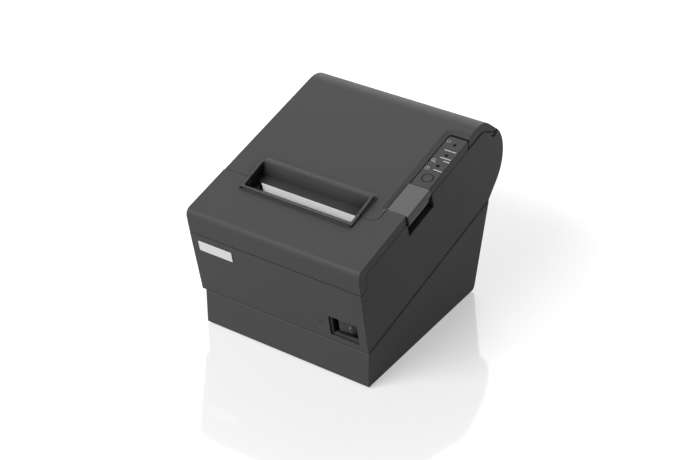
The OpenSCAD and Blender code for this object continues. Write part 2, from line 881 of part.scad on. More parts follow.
module roll_cover() {
    color(charcoal) in_case() difference() {
        union() {
            intersection() {
                plan(60, 200) roll_plan();
                union() {
                    difference() {
                        union() {
                            cover_shell(roll_l, roll_r_side);
                            outlet_rim();
                        }
                        bevel_cut();
                    }
                    // Edge beside the lever and the panel.
                    across(cover_edge_x - wall, cover_edge_x) intersection() {
                        rounded(inset(upper_side, panel_drop));
                        cover_space(0);
                    }
                    // Outlet walls.
                    for (x = [outlet_l - wall, outlet_r]) across(x, x + wall) outlet_wall_side();
                    // Edge behind the panel.
                    plan_wall_behind_panel();
                }
            }
            across(outlet_l - wall, outlet_r + wall) outlet_ledge_side(wall);
            across(roll_l, roll_r_side) translate(hinge) circle(r = barrel_r);
        }
        intersection() {
            across(outlet_l, outlet_r) outlet_space_side();
            plan(60, 200) rounded([
                [outlet_l, 0, 0], [outlet_r, 0, 0],
                [outlet_r, outlet_rear, outlet_corner], [outlet_l, outlet_rear, outlet_corner]
            ]);
        }
        across(roll_l - 1, roll_r_side + 1) difference() {
            translate([0, 60]) square([60, 100]);
            translate(hinge) circle(r = swing_r);
        }
        knuckles(0.4) translate(hinge) circle(r = barrel_r + 1);
        side_rod(hinge, hinge_pin_r, roll_l - 1, roll_r_side + 1);
    }
}

module plan_wall_behind_panel() {
    intersection() {
        translate([cover_edge_x - wall, notch_rear, 60]) cube([side_r, wall, 140]);
        across(cover_edge_x - wall, roll_r_side) intersection() {
            rounded(inset(upper_side, panel_drop));
            cover_space(0);
        }
    }
}

// Side view of the outlet's end walls.
module outlet_wall_side() {
    y0 = outlet_front - wall;
    y1 = outlet_rear + wall;
    polygon([
        guide_low - [0, wall], on_slope(ledge_s, -ledge_drop - wall),
        on_slope(outlet_foot_s, -ledge_drop - wall), [y1, rim_z(y1)], [y0, rim_z(y0)],
        [y0 + 2, rim_z(y0) - 4]
    ]);
}

module cutter_cover() {
    color(charcoal) in_case() difference() {
        intersection() {
            plan(60, 200) cutter_plan();
            union() {
                cover_shell(side_l, side_r);
                outlet_rim();
                for (x = [outlet_l - wall, outlet_r]) across(x, x + wall) outlet_wall_side();
                across(outlet_l - wall, outlet_r + wall) guide_side();
                // Edge beside the lever.
                intersection() {
                    across(cover_edge_x + seam_gap, side_r) intersection() {
                        rounded(upper_side);
                        cover_space(0);
                    }
                    union() {
                        translate([0, lever_front - seam_gap - wall, 0]) cube([200, wall, 200]);
                        translate([cover_edge_x + seam_gap, seam_y + 5, 0]) cube([wall, 200, 200]);
                    }
                }
            }
        }
        intersection() {
            across(outlet_l, outlet_r) guide_space_side();
            plan(60, 200) rounded([
                [outlet_l, outlet_front, outlet_corner], [outlet_r, outlet_front, outlet_corner],
                [outlet_r, 100, 0], [outlet_l, 100, 0]
            ]);
        }
    }
}

// Side view of the outlet's front guide and of the space behind it.
module guide_side() {
    polygon([
        [outlet_front - wall, rim_z(outlet_front)], guide_low - [1, wall], guide_low - [0, wall],
        guide_low, [outlet_front, rim_z(outlet_front)]
    ]);
}

module guide_space_side() {
    polygon([
        [outlet_front, 160], [outlet_front, rim_z(outlet_front)], guide_low, [100, guide_low[1]],
        [100, 160]
    ]);
}

// Holds the platen and the fixed blade under the roll cover.
module cover_liner() {
    color(charcoal) in_case() difference() {
        union() {
            for (side = [-1, 1])
                across_half(side, cheek_in, cheek_in + cheek_t) liner_cheek_side();
            across(paper_x - cheek_in, paper_x + cheek_in) blade_bar_side();
            across(paper_x - cheek_in, paper_x + cheek_in) liner_web_side();
        }
        for (side = [-1, 1]) across_half(side, cheek_in - 1, cheek_in + cheek_t + 1)
            translate(platen) circle(r = bush_r);
    }
}

// Like across(), measured outwards from the middle of the paper path.
module across_half(side, a, b) {
    x0 = paper_x + min(side * a, side * b);
    across(x0, x0 + b - a) children();
}

module blade_bar_side() {
    polygon([
        on_slope(bar_s, -blade_drop - 0.1), on_slope(bar_s + 8, -blade_drop - 0.1),
        on_slope(bar_s + 8, bar_top - 0.6), on_slope(bar_s, bar_top - 0.6)
    ]);
}

module liner_web_side() {
    polygon([
        on_slope(bar_s + 7, -blade_drop - 3), on_slope(bar_s + 9, -blade_drop - 3),
        on_slope(bar_s + 12, -wall), on_slope(bar_s + 9, -wall)
    ]);
}

module liner_cheek_side() {
    translate(platen) circle(r = bush_r + 2);
    polygon([
        platen + [-bush_r - 1, 2], on_slope(bar_s, -blade_drop + 2), on_slope(bar_s, bar_top - 0.6),
        on_slope(bar_s + 9, bar_top - 0.6), on_slope(bar_s + 12, -wall), on_slope(bar_s + 30, -wall),
        platen + [bush_r + 1, -3]
    ]);
}

module hinge_pins() {
    color(steel) in_case() for (x = [-knuckle_x, knuckle_x])
        side_rod(hinge, hinge_pin_r, x - hinge_pin_l / 2, x + hinge_pin_l / 2);
}

module fixed_blade() {
    color(steel) in_case() slope_block(paper_x - cheek_in + 0.3, paper_x + cheek_in - 0.3,
        paper_s + paper_t / 2 + 1, bar_s + 7, -blade_drop - 0.1 - blade_t, -blade_drop - 0.1);
}

// ---- platen and gears ------------------------------------------------------

module platen_bushes() {
    color(ivory) in_case() for (side = [-1, 1]) difference() {
        across_half(side, cheek_in, cheek_in + cheek_t + 0.4) translate(platen) circle(r = bush_r);
        across_half(side, cheek_in - 1, cheek_in + cheek_t + 2)
            translate(platen) circle(r = shaft_r + run_clear);
    }
}

module platen_roller() {
    color(black) in_case() difference() {
        side_rod(platen, platen_r, paper_x - platen_w / 2, paper_x + platen_w / 2);
        side_rod(platen, shaft_r, paper_x - platen_w, paper_x + platen_w);
    }
}

module platen_shaft() {
    color(steel) in_case()
        side_rod(platen, shaft_r, gear_x - 0.6, paper_x + frame_in + plate_t + 1);
}

module platen_gear() {
    color(ivory) in_case() side_gear(platen, platen_teeth, mesh_angle, gear_x, shaft_r);
}

// A gap of this gear faces the tooth of the platen gear.
module reduction_gear() {
    color(ivory) in_case() side_gear(reduction, reduction_teeth,
        mesh_angle + 180 + 180 / reduction_teeth, gear_x, reduction_axle_r + run_clear);
}

// The pinion's tooth sits in whichever gap of the reduction gear faces it.
function pinion_phase() =
    let (
        first = mesh_angle + 180 + 180 / reduction_teeth,
        toward = pinion_angle,
        off = (toward - first) / (360 / reduction_teeth),
        part = off - floor(off)
    )
    pinion_angle + 180 + (part - 0.5) * 360 / pinion_teeth;

module motor_pinion() {
    color(steel) in_case() {
        side_gear(motor, pinion_teeth, pinion_phase(), gear_x, motor_axle_r);
        side_rod(motor, motor_axle_r, gear_x - 0.4, paper_x - frame_in + 4);
    }
}

module feed_motor() {
    x0 = paper_x - frame_in;
    color(steel) in_case() difference() {
        union() {
            side_rod(motor, motor_r, x0 + 1, x0 + motor_l);
            side_rod(motor, motor_neck_r, x0 - plate_t + 0.1, x0 + 2);
            across(x0, x0 + 1) {
                translate(motor) rotate(40) translate([-motor_r - 4, -4]) square([2 * motor_r + 8, 8]);
                translate(motor) circle(r = motor_r);
            }
        }
        side_rod(motor, motor_axle_r + run_clear, x0 - 5, x0 + 4.2);
    }
}

module frame_plate_side() {
    difference() {
        polygon([
            [8, case_floor], [60, case_floor], [reduction[0] + 6, reduction[1] + 4], platen + [9, 0],
            platen + [4.5, 6], platen + [-3, 6], on_slope(38, -blade_drop - 6),
            on_slope(32, -blade_drop + 3), on_slope(8, -blade_drop + 3), [8, 84]
        ]);
        // Slot that the platen shaft drops into as the cover closes.
        translate(platen) circle(r = shaft_r + 0.45);
        translate(platen) rotate(atan2(left_of(swing)[1], left_of(swing)[0]) + 180)
            translate([0, -shaft_r - 0.3]) square([14, 2 * shaft_r + 0.6]);
        // Lightening windows.
        for (y = [16, 35]) rounded(box_outline(y, 12, y + 15, 30, 4));
        // Cut-out round the power switch.
        translate([ledge, base_h]) rotate(lean) translate([-20, switch_z - switch_rim - switch_clear])
            square([20 + switch_back + switch_clear, switch_h + 2 * (switch_rim + switch_clear)]);
    }
}

module nip() {
    translate(platen) rotate(nip_angle) children();
}

module mechanism_frame() {
    color(steel) in_case() difference() {
        union() {
            for (side = [-1, 1]) across_half(side, frame_in, frame_in + plate_t) frame_plate_side();
            // Cross plate behind the head's springs.
            across(paper_x - frame_in, paper_x + frame_in) nip() translate([head_gap + 9, -1])
                square([1.2, 15]);
            // Feet.
            for (side = [-1, 1]) across_half(side, frame_in - 8, frame_in)
                translate([12, case_floor]) square([44, plate_t]);
            side_rod(reduction, reduction_axle_r, gear_x - 0.4, paper_x - frame_in);
        }
        side_rod(motor, motor_neck_r + 0.1, paper_x - frame_in - 3, paper_x - frame_in + 3);
        for (side = [-1, 1]) for (y = [18, 50])
            translate([paper_x + side * (frame_in - 4), y, 0]) cylinder(r = 1.6, h = 20);
    }
}

module thermal_head() {
    color(ivory) in_case() across(paper_x - platen_w / 2, paper_x + platen_w / 2) nip()
        translate([head_gap, -5]) square([1, 15]);
}

module head_heatsink() {
    color(steel) in_case() across(paper_x - platen_w / 2 - 0.8, paper_x + platen_w / 2 + 0.8) nip()
        difference() {
            translate([head_gap + 1, -4]) square([5, 17]);
            for (i = [0 : 3]) translate([head_gap + 3, -2 + 4 * i]) square([4, 2]);
        }
}

module head_spring() {
    color(steel) in_case() for (x = [-24, 24]) across(paper_x + x - 5, paper_x + x + 5) nip()
        polygon([
            [head_gap + 8.9, 1], [head_gap + 8.9, 3], [head_gap + 6.5, 6], [head_gap + 8.9, 9],
            [head_gap + 8.9, 11], [head_gap + 8.5, 11], [head_gap + 8.5, 9.2], [head_gap + 6.1, 6.2],
            [head_gap + 6.1, 5.8], [head_gap + 8.5, 2.8], [head_gap + 8.5, 1]
        ]);
}

// ---- cutter ----------------------------------------------------------------

module cutter_frame() {
    color(steel) in_case() difference() {
        union() {
            slope_block(cut_l, cut_r, cut_s, blade_s - 0.6, cut_n - cut_t, cut_n);
            for (x = [cut_l, cut_r - cut_t])
                slope_block(x, x + cut_t, cut_s, cut_s + 23, cut_n - cut_t / 2, cut_n + 5);
            slope_block(cut_l, cut_r, cut_s - cut_t, cut_s, cut_n - cut_t, cut_n + 4);
            on_top(0) translate([dial_x, dial_s, cut_n - cut_t / 2]) cylinder(r = dial_bore, h = 6.6);
        }
        slope_block(blade_window[0], blade_window[1], 12, 24, cut_n - 5, cut_n + 1);
    }
}

module moving_blade() {
    neck = dial_x - 4.5;
    step = 20;
    color(steel) in_case() difference() {
        union() {
            on_top(0) translate([0, 0, -blade_drop]) linear_extrude(blade_t) polygon([
                [paper_x - blade_half, blade_front], [neck, blade_front], [neck, step],
                [paper_x + blade_half, step], [paper_x + blade_half, blade_s],
                [paper_x, blade_s - 2.4], [paper_x - blade_half, blade_s]
            ]);
            // Rack for the cutter's pinion.
            on_top(0) translate([0, 0, -blade_drop + blade_t - 0.2]) linear_extrude(3.6) rack_outline();
        }
        slope_block(blade_window[0], blade_window[1], 14, step, -blade_drop - 1, -blade_drop + 3);
    }
}

// Rack along the slope; its teeth face right, towards the pinion.
module rack_outline() {
    pitch = PI * gear_m;
    x0 = dial_x - dial_pitch;
    n = 6;
    first = dial_s - pitch * n / 2 - 1;
    difference() {
        translate([x0 - 4, first]) square([4 + 0.9 * gear_m, pitch * n + 2]);
        for (i = [-3 : 3]) translate([x0, dial_s + i * pitch])
            polygon([
                [-1.15 * gear_m, -0.38], [gear_m, -0.98], [gear_m, 0.98], [-1.15 * gear_m, 0.38]
            ]);
    }
}

module cutter_dial() {
    color(green) in_case() on_top(0) translate([dial_x, dial_s, 0]) difference() {
        union() {
            translate([0, 0, -blade_drop + 1.4]) linear_extrude(3.4) rotate(180)
                gear_outline(dial_teeth, gear_m, 0.12);
            translate([0, 0, -blade_drop + 4.6]) linear_extrude(1.6) difference() {
                circle(r = dial_r);
                for (i = [0 : 23]) rotate(15 * i) translate([dial_r + 0.2, 0]) circle(r = 0.7, $fn = 16);
            }
        }
        translate([0, 0, -blade_drop - 1]) cylinder(r = dial_bore + run_clear, h = 20);
    }
}

module cutter_motor() {
    r = 4.2;
    n = cut_n + r + 1.2;
    color(steel) in_case() {
        on_top(0) translate([paper_x - 38, 11.6, n]) rotate([0, 90, 0]) cylinder(r = r, h = 24);
        slope_block(paper_x - 14, paper_x + 12, 7.2, 16, cut_n + blade_t + 0.4, n + r);
        slope_block(paper_x - 36, paper_x + 12, 7, 7.6, cut_n + blade_t + 0.4, n + 1);
    }
}

// ---- lever, panel and button ----------------------------------------------

// Extrudes a view drawn up the slope and above it, from x0 to x1.
module slope_across(x0, x1) {
    on_top(0) translate([x0, 0, 0]) rotate([90, 0, 90]) linear_extrude(x1 - x0) children();
}

// Draws a view across X and above the slope, from s0 to s1 up the slope.
module slope_along(s0, s1) {
    on_top(0) translate([0, s1, 0]) rotate([90, 0, 0]) linear_extrude(s1 - s0) children();
}

module lever_axis(x0, x1, r) {
    slope_across(x0, x1) translate([lever_axis_s, lever_axis_n]) circle(r = r);
}

module open_lever() {
    color(grey) in_case() difference() {
        union() {
            slope_across(panel_x, lever_side - 0.8) rounded([
                [lever_s, -lever_t, 0], [lever_rear, -lever_t, 0], [lever_rear, 0, 0.8],
                [lever_s, 0, 0.8]
            ]);
            lever_flange();
            // Hub on the pin.
            lever_axis(panel_x + 3.4, lever_side - 5, lever_ear_r);
            slope_block(panel_x + 3.4, lever_side - 5, lever_axis_s - lever_ear_r,
                lever_axis_s + lever_ear_r, lever_axis_n, -1);
            // Stiffening ribs.
            for (x = [panel_x + 1, panel_x + 6, panel_x + 11])
                slope_block(x, x + 1, lever_s + 1, lever_axis_s - 5, -lever_t - 2, -lever_t + 0.5);
        }
        lever_axis(panel_x, lever_side - 3, lever_pin_r + run_clear);
    }
}

// Flange down the side of the case, turned in towards its lower edge.
module lever_flange() {
    t = 2;
    intersection() {
        slope_across(lever_side - 8, lever_side + 1) rounded([
            [lever_s, -flange_h, 1], [lever_rear - flange_step, -flange_h, 2.4],
            [lever_rear - flange_step, -flange_h / 2, 1.2], [lever_rear, -flange_h / 2, 0.8],
            [lever_rear, 0, 0.8], [lever_s, 0, 0.8]
        ]);
        slope_along(lever_s - 1, lever_end + 1) difference() {
            tucked_outline(1);
            translate([-t, 0]) tucked_outline(2);
        }
    }
}

// Everything inside the flange's outer face, from x beyond it both ways.
module tucked_outline(x) {
    bend = 3.6 - flange_h;
    low = -flange_h - x;
    tuck = flange_tuck * (bend - low) / (bend + flange_h);
    rounded([
        [lever_side - 20, low, 0], [lever_side - tuck, low, 0], [lever_side, bend, 8],
        [lever_side, x, 0], [lever_side - 20, x, 0]
    ]);
}

module lever_pin() {
    color(steel) in_case() lever_axis(panel_x + 1.2, lever_side - 3, lever_pin_r);
}

module panel_side_view() {
    intersection() {
        rounded(inset(upper_side, panel_drop));
        cover_space(0);
    }
}

module control_panel() {
    t = 1.6;
    color(charcoal) in_case() difference() {
        union() {
            intersection() {
                difference() {
                    across(panel_x - 1, side_r) panel_side_view();
                    across(panel_x + t, side_r - 1.8) rounded(inset(upper_side, panel_drop + 1.8));
                }
                panel_plan();
            }
            // Front and rear walls.
            intersection() {
                union() {
                    slope_block(panel_x, side_r, panel_s0, panel_s0 + t, -60, 60);
                    translate([panel_x, panel_rear - t, 0]) cube([panel_w, t, 200]);
                }
                across(panel_x - 1, side_r) panel_side_view();
                panel_plan();
            }
            // Posts that carry the board.
            for (y = [lamp_y - lamp_pitch / 2, lamp_y + 2.4 * lamp_pitch]) on_top(y)
                translate([lamp_x - 4.6, 0, -panel_drop - 5.6]) cylinder(r = 1.3, h = 4.6);
        }
        // Only the part behind the lever is kept.
        slope_block(0, 200, -60, panel_s0, -60, 60);
        panel_places() cylinder(r = lamp_r, h = 20, center = true);
        button_place() cylinder(r = button_r + 0.35, h = 20, center = true);
    }
    color(charcoal) in_case() lever_ears();
}

module panel_plan() {
    plan(60, 200) rounded([
        [panel_x, 0, 0], [side_r + 1, 0, 0], [side_r + 1, panel_rear, 0],
        [panel_x, panel_rear, panel_corner]
    ]);
}

// Ears that carry the lever's pin.
module lever_ears() {
    ear_t = 1.6;
    difference() {
        for (x = [panel_x + 1.2, lever_side - 3 - ear_t]) {
            lever_axis(x, x + ear_t, lever_ear_r);
            slope_block(x, x + ear_t, lever_axis_s, panel_s0 + 1, lever_axis_n - 1.6, lever_axis_n + 1.6);
        }
        lever_axis(panel_x, lever_side, lever_pin_r);
    }
}

module panel_places() {
    for (i = [0 : 2]) on_top(lamp_y + i * lamp_pitch) translate([lamp_x, 0, -panel_drop]) children();
}

module button_place() {
    on_top(button_y) translate([button_x, 0, -panel_drop]) children();
}

module lamp_lenses() {
    color(black) in_case() panel_places() translate([0, 0, -3.2]) {
        cylinder(r = lamp_r - 0.1, h = 2.9);
        translate([0, 0, -0.9]) cylinder(r = lamp_r + 0.7, h = 1);
    }
}

module feed_button() {
    color(charcoal) in_case() button_place() {
        translate([0, 0, -3]) cylinder(r = button_r, h = 3);
        translate([0, 0, -3.6]) cylinder(r = button_r + 1, h = 1.2);
    }
}

module panel_board() {
    n = -panel_drop - 6.6;
    color(green) in_case() union() {
        slope_block(panel_x + 2, side_r - 2.2, panel_s0 + 4, panel_rear / cos(slope) - 4, n, n + 1);
        button_place() translate([-1.5, -1.5, -5.8]) cube([3, 3, 0.9]);
    }
}

// ---- paper -----------------------------------------------------------------

module bin_round_side(r) {
    translate([bin_y, bin_z]) circle(r = r);
}

module bin_trough_side() {
    difference() {
        union() {
            bin_round_side(bin_r + bin_t);
            translate([bin_y, bin_z]) square([bin_r + bin_t, bin_rise]);
        }
        bin_round_side(bin_r);
        translate([bin_y - 100, bin_z]) square([100 + bin_r, 200]);
        translate([0, bin_z - 12]) square([bin_y, 100]);
    }
}

module bin_cheek_side() {
    leg_h = bin_z - bin_r / 2 - case_floor;
    difference() {
        union() {
            bin_round_side(bin_r + bin_t);
            translate([bin_y, bin_z]) square([bin_r + bin_t, bin_rise]);
            translate([bin_y - 34, bin_z]) square([40, 30]);
            translate([bin_y - 39, case_floor]) square([8, leg_h]);
            translate([leg_y, case_floor]) square([leg_w, leg_h]);
        }
        translate([bin_y - 60, bin_z + 8]) circle(r = 24);
        translate([roll[0], roll[1]]) circle(r = core_r);
    }
}

module paper_bin() {
    color(black) in_case() difference() {
        union() {
            across(paper_x - bin_half - 1, paper_x + bin_half + 1) bin_trough_side();
            for (side = [-1, 1]) across_half(side, bin_half, bin_half + bin_cheek_t) bin_cheek_side();
        }
        side_rod([sensor_y, sensor_z], sensor_r + run_clear, paper_x - bin_half - 5,
            paper_x - bin_half + 3);
    }
}

// Feeler that drops when little paper is left.
module near_end_lever() {
    x1 = paper_x - bin_half - bin_cheek_t - 0.3;
    color(white) in_case() {
        side_rod([sensor_y, sensor_z], sensor_r, x1 - 2, x1 + 3);
        across(x1 - 2, x1) difference() {
            union() {
                translate([sensor_y, sensor_z]) circle(r = 3);
                translate([sensor_y - sensor_arm, sensor_z - 1.5]) square([sensor_arm, 3]);
            }
            translate([sensor_y, sensor_z]) circle(r = sensor_r - 0.1);
        }
    }
}

module paper_roll() {
    color(white) in_case() difference() {
        side_rod(roll, roll_r, paper_x - paper_w / 2, paper_x + paper_w / 2);
        side_rod(roll, core_r, paper_x - paper_w, paper_x + paper_w);
    }
}

module paper_core() {
    color(grey) in_case() difference() {
        side_rod(roll, core_r, paper_x - paper_w / 2 - 0.3, paper_x + paper_w / 2 + 0.3);
        side_rod(roll, core_r - core_t, paper_x - paper_w, paper_x + paper_w);
    }
}

// Side view of the paper from the platen to its torn edge.
module paper_web_side() {
    r = platen_r + paper_gap;
    intersection() {
        translate(platen) difference() {
            circle(r = r + paper_t);
            circle(r = r);
        }
        polygon([
            platen, platen + 20 * [cos(nip_angle), sin(nip_angle)],
            platen - 20 * [cos(slope), sin(slope)]
        ]);
    }
    polygon([
        on_slope(paper_s - paper_t / 2, -platen_drop), on_slope(paper_s + paper_t / 2, -platen_drop),
        on_slope(paper_s + paper_t / 2, paper_rise - ledge_drop),
        on_slope(paper_s - paper_t / 2, paper_rise - ledge_drop)
    ]);
}

module paper_web() {
    slit = 0.15;
    color(white) in_case() difference() {
        across(paper_x - paper_w / 2, paper_x + paper_w / 2) paper_web_side();
        // The cut that the moving blade passes through.
        slope_block(paper_x - 50, paper_x + 50, paper_s - 5, paper_s + 5, -blade_drop - slit,
            -blade_drop + blade_t + slit);
    }
}

// The paper between the roll and the platen.
module paper_lead() {
    color(white) in_case() across(paper_x - paper_w / 2, paper_x + paper_w / 2) nip()
        translate([platen_r + paper_gap, 0.3]) square([paper_t, nip_run - 0.6]);
}

// ---- electronics and sockets ----------------------------------------------

// A board on four spacers.
module board(x0, x1, y0, y1) {
    translate([x0, y0, board_z]) cube([x1 - x0, y1 - y0, board_t]);
    for (x = [x0 + 3, x1 - 3]) for (y = [y0 + 3, y1 - socket_d - 3])
        translate([x, y, case_floor]) cylinder(r = 2, h = board_rise);
}

// A flat component on a board, by its corner and size.
module chip(x, y, size) {
    translate([x, y, socket_z]) cube(size);
}

module main_board() {
    x0 = paper_x - board_half;
    color(green) in_case() {
        board(x0, paper_x + board_gap, board_y0, board_y1);
        chip(x0 + 8, board_y0 + 14, [14, 14, 1.4]);
        chip(x0 + 28, board_y0 + 18, [8, 10, 1.2]);
        for (i = [0 : 2]) translate([x0 + 6 + 9 * i, board_y0 + 6, socket_z])
            cylinder(r = 3, h = part_h);
    }
}

module interface_board() {
    y0 = board_y0 + 26;
    color(green) in_case() {
        board(paper_x + 2 * board_gap, paper_x + board_half, y0, board_y1);
        chip(paper_x + 14, y0 + 8, [12, 12, 1.2]);
    }
}

// A socket's shell on the board, with its mouth in the connector plate.
module socket_shell(x, size) {
    translate([x - size[0] / 2, socket_front, socket_z]) cube([size[0], socket_d, size[1]]);
}

// Opening in a socket, w wide and h high from z0 above the board, depth deep.
module socket_mouth(x, w, z0, h, depth) {
    translate([x - w / 2, bay_y + 0.6 - depth, socket_z + z0]) cube([w, depth + 1, h]);
}

module power_socket() {
    depth = socket_d - 4;
    mid = power_size[1] / 2;
    color(black) in_case() difference() {
        socket_shell(power_x, power_size);
        translate([power_x, bay_y - depth, socket_z + mid]) rotate([-90, 0, 0]) difference() {
            cylinder(r = 4.8, h = depth + 2);
            translate([0, 0, -1]) cylinder(r = 3.4, h = depth);
        }
        for (a = [60, 180, 300]) translate([power_x, bay_y - depth + 2, socket_z + mid])
            rotate([-90, 0, 0]) translate([2 * cos(a), 2 * sin(a), 0]) cylinder(r = 0.6, h = depth);
    }
}

module drawer_socket() {
    depth = socket_d - 3.4;
    color(black) in_case() difference() {
        socket_shell(drawer_x, drawer_size);
        socket_mouth(drawer_x, 9.8, 2, 6.8, depth);
        socket_mouth(drawer_x, 3.6, 8, 2, depth);
    }
}

module data_socket() {
    depth = socket_d - 4.4;
    color(steel) in_case() difference() {
        socket_shell(data_x, data_size);
        difference() {
            socket_mouth(data_x, 8.8, 1.4, 8.2, depth);
            // Tongue that stands back from the mouth.
            translate([0, -2, 0]) socket_mouth(data_x, 5.6, 3.6, 3.2, depth);
        }
    }
}

module network_socket() {
    depth = socket_d - 3.4;
    color(steel) in_case() difference() {
        socket_shell(network_x, network_size);
        socket_mouth(network_x, 11.8, 1.4, 7.2, depth);
        socket_mouth(network_x, 6, 8, 2, depth);
    }
}

module connector_plate() {
    gap = seam_gap / 2;
    top = bay_top + bay_lining + 1.4;
    color(steel) in_case() difference() {
        union() {
            translate([gap - bay_w / 2, bay_y, case_floor])
                cube([bay_w - 2 * gap, plate_sheet, top - case_floor]);
            translate([gap - bay_w / 2, bay_y - 4, case_floor])
                cube([bay_w - 2 * gap, 4.5, plate_sheet]);
        }
        plate_window(power_x, power_size);
        plate_window(drawer_x, drawer_size);
        plate_window(data_x, data_size);
        plate_window(network_x, network_size);
        plate_screw_places() cylinder(r = screw_r + 0.1, h = 10, center = true);
    }
}

module plate_window(x, size) {
    translate([x - size[0] / 2 - fit_gap, bay_y - 1, socket_z - fit_gap])
        cube([size[0] + 2 * fit_gap, 4, size[1] + 2 * fit_gap]);
}

module plate_screw_places() {
    for (side = [-1, 1]) translate([side * (bay_w / 2 - plate_screw_in), bay_y, bay_top - 4])
        rotate([-90, 0, 0]) children();
}

module plate_screws() {
    color(steel) in_case() plate_screw_places() difference() {
        union() {
            translate([0, 0, plate_sheet]) cylinder(r = screw_head_r, h = 1.8);
            translate([0, 0, -4]) cylinder(r = screw_r, h = 4 + plate_sheet + 0.5);
        }
        translate([-0.4, -4, plate_sheet + 1]) cube([0.8, 8, 2]);
    }
}

lower_case();
upper_case();
rubber_feet();
case_screws();
switch_setting_cover();
badge_plate();
switch_housing();
power_rocker();
cutter_cover();
roll_cover();
cover_liner();
hinge_pins();
fixed_blade();
platen_bushes();
platen_roller();
platen_shaft();
platen_gear();
reduction_gear();
motor_pinion();
feed_motor();
mechanism_frame();
thermal_head();
head_heatsink();
head_spring();
cutter_frame();
cutter_motor();
moving_blade();
cutter_dial();
open_lever();
lever_pin();
control_panel();
panel_board();
lamp_lenses();
feed_button();
paper_bin();
near_end_lever();
paper_roll();
paper_core();
paper_web();
paper_lead();
main_board();
interface_board();
connector_plate();
plate_screws();
power_socket();
drawer_socket();
data_socket();
network_socket();
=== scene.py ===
import math

import bpy
from mathutils import Matrix, Vector
from mathutils.bvhtree import BVHTree


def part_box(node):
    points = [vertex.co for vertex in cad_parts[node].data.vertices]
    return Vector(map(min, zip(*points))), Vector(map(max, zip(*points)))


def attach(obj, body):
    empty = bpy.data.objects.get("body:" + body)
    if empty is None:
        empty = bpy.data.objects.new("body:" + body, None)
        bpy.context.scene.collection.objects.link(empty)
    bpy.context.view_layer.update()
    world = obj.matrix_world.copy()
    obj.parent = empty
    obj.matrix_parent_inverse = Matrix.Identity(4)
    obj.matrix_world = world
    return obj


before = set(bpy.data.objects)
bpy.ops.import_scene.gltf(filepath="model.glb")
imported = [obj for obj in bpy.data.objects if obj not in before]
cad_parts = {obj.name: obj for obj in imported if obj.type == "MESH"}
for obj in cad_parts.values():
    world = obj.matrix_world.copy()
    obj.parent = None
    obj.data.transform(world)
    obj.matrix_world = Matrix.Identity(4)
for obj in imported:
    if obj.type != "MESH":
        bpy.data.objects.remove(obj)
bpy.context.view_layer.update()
print("frame loaded:", len(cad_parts), "nodes")

mm = 0.001


class Wire:
    # a socket's output, with arithmetic that adds Math nodes
    def __init__(self, tree, link=None):
        self.tree = tree
        self.link = link

    def add(self, kind, settings=None, sockets=None, out=0):
        # any node: its settings first, then the values or links of its sockets
        node = self.tree.nodes.new("ShaderNode" + kind)
        for key, value in (settings or {}).items():
            if key == "stops":
                fillRamp(node.color_ramp, value)
            else:
                setattr(node, key, value)
        for key, value in (sockets or {}).items():
            if isinstance(value, Wire):
                self.tree.links.new(value.link, node.inputs[key])
            else:
                node.inputs[key].default_value = value
        return Wire(self.tree, node.outputs[out])

    def calc(self, operation, left, right):
        return self.add("Math", {"operation": operation}, {0: left, 1: right})

    def __add__(self, other):
        return self.calc("ADD", self, other)

    def __radd__(self, other):
        return self.calc("ADD", other, self)

    def __sub__(self, other):
        return self.calc("SUBTRACT", self, other)

    def __rsub__(self, other):
        return self.calc("SUBTRACT", other, self)

    def __mul__(self, other):
        return self.calc("MULTIPLY", self, other)

    def __rmul__(self, other):
        return self.calc("MULTIPLY", other, self)

    def __gt__(self, other):
        return self.calc("GREATER_THAN", self, other)

    def __lt__(self, other):  # what 1 > mask turns into
        return self.calc("LESS_THAN", self, other)


def fillRamp(ramp, stops):
    while len(ramp.elements) < len(stops):
        ramp.elements.new(1)
    for element, (place, level) in zip(ramp.elements, stops):
        element.position = place
        element.color = (*grey(level), 1)


def newFinish(name, steady):
    # an empty finish with its steady values set on the shader's own sockets
    finish = bpy.data.materials.new(name)
    finish.use_nodes = True
    shader = finish.node_tree.nodes["Principled BSDF"]
    for key, value in steady.items():
        shader.inputs[key].default_value = value
    return finish, Wire(finish.node_tree), shader


def plug(wire, shader, key):
    wire.tree.links.new(wire.link, shader.inputs[key])


def twoTone(wire, mask, dark, light):
    # the Mix node has its colours on sockets 6 and 7, and gives them mixed on output 2
    dark, light = (tone if isinstance(tone, Wire) else (*tone, 1) for tone in (dark, light))
    return wire.add("Mix", {"data_type": "RGBA"}, {0: mask, 6: dark, 7: light}, out=2)


def scaled(colour, factor):
    return tuple(min(1, channel * factor) for channel in colour)


def grey(level):
    return (level, level, level)


def clouded(wire, cloud, look):
    # the finish's own colour, a little darker or lighter from place to place
    darker, lighter = look["cloudTones"]
    return twoTone(wire, cloud, scaled(look["colour"], darker), scaled(look["colour"], lighter))


def noise(wire, place, size, detail=2, rough=0.5):
    # soft spots about size metres across
    shape = {"Scale": 1 / size, "Detail": detail, "Roughness": rough}
    return wire.add("TexNoise", {}, {"Vector": place, **shape})


def bump(wire, shader, height, depth, more=None):
    sockets = {"Height": height, "Distance": depth, "Strength": 1}
    sockets.update(more or {})
    plug(wire.add("Bump", {}, sockets), shader, "Normal")


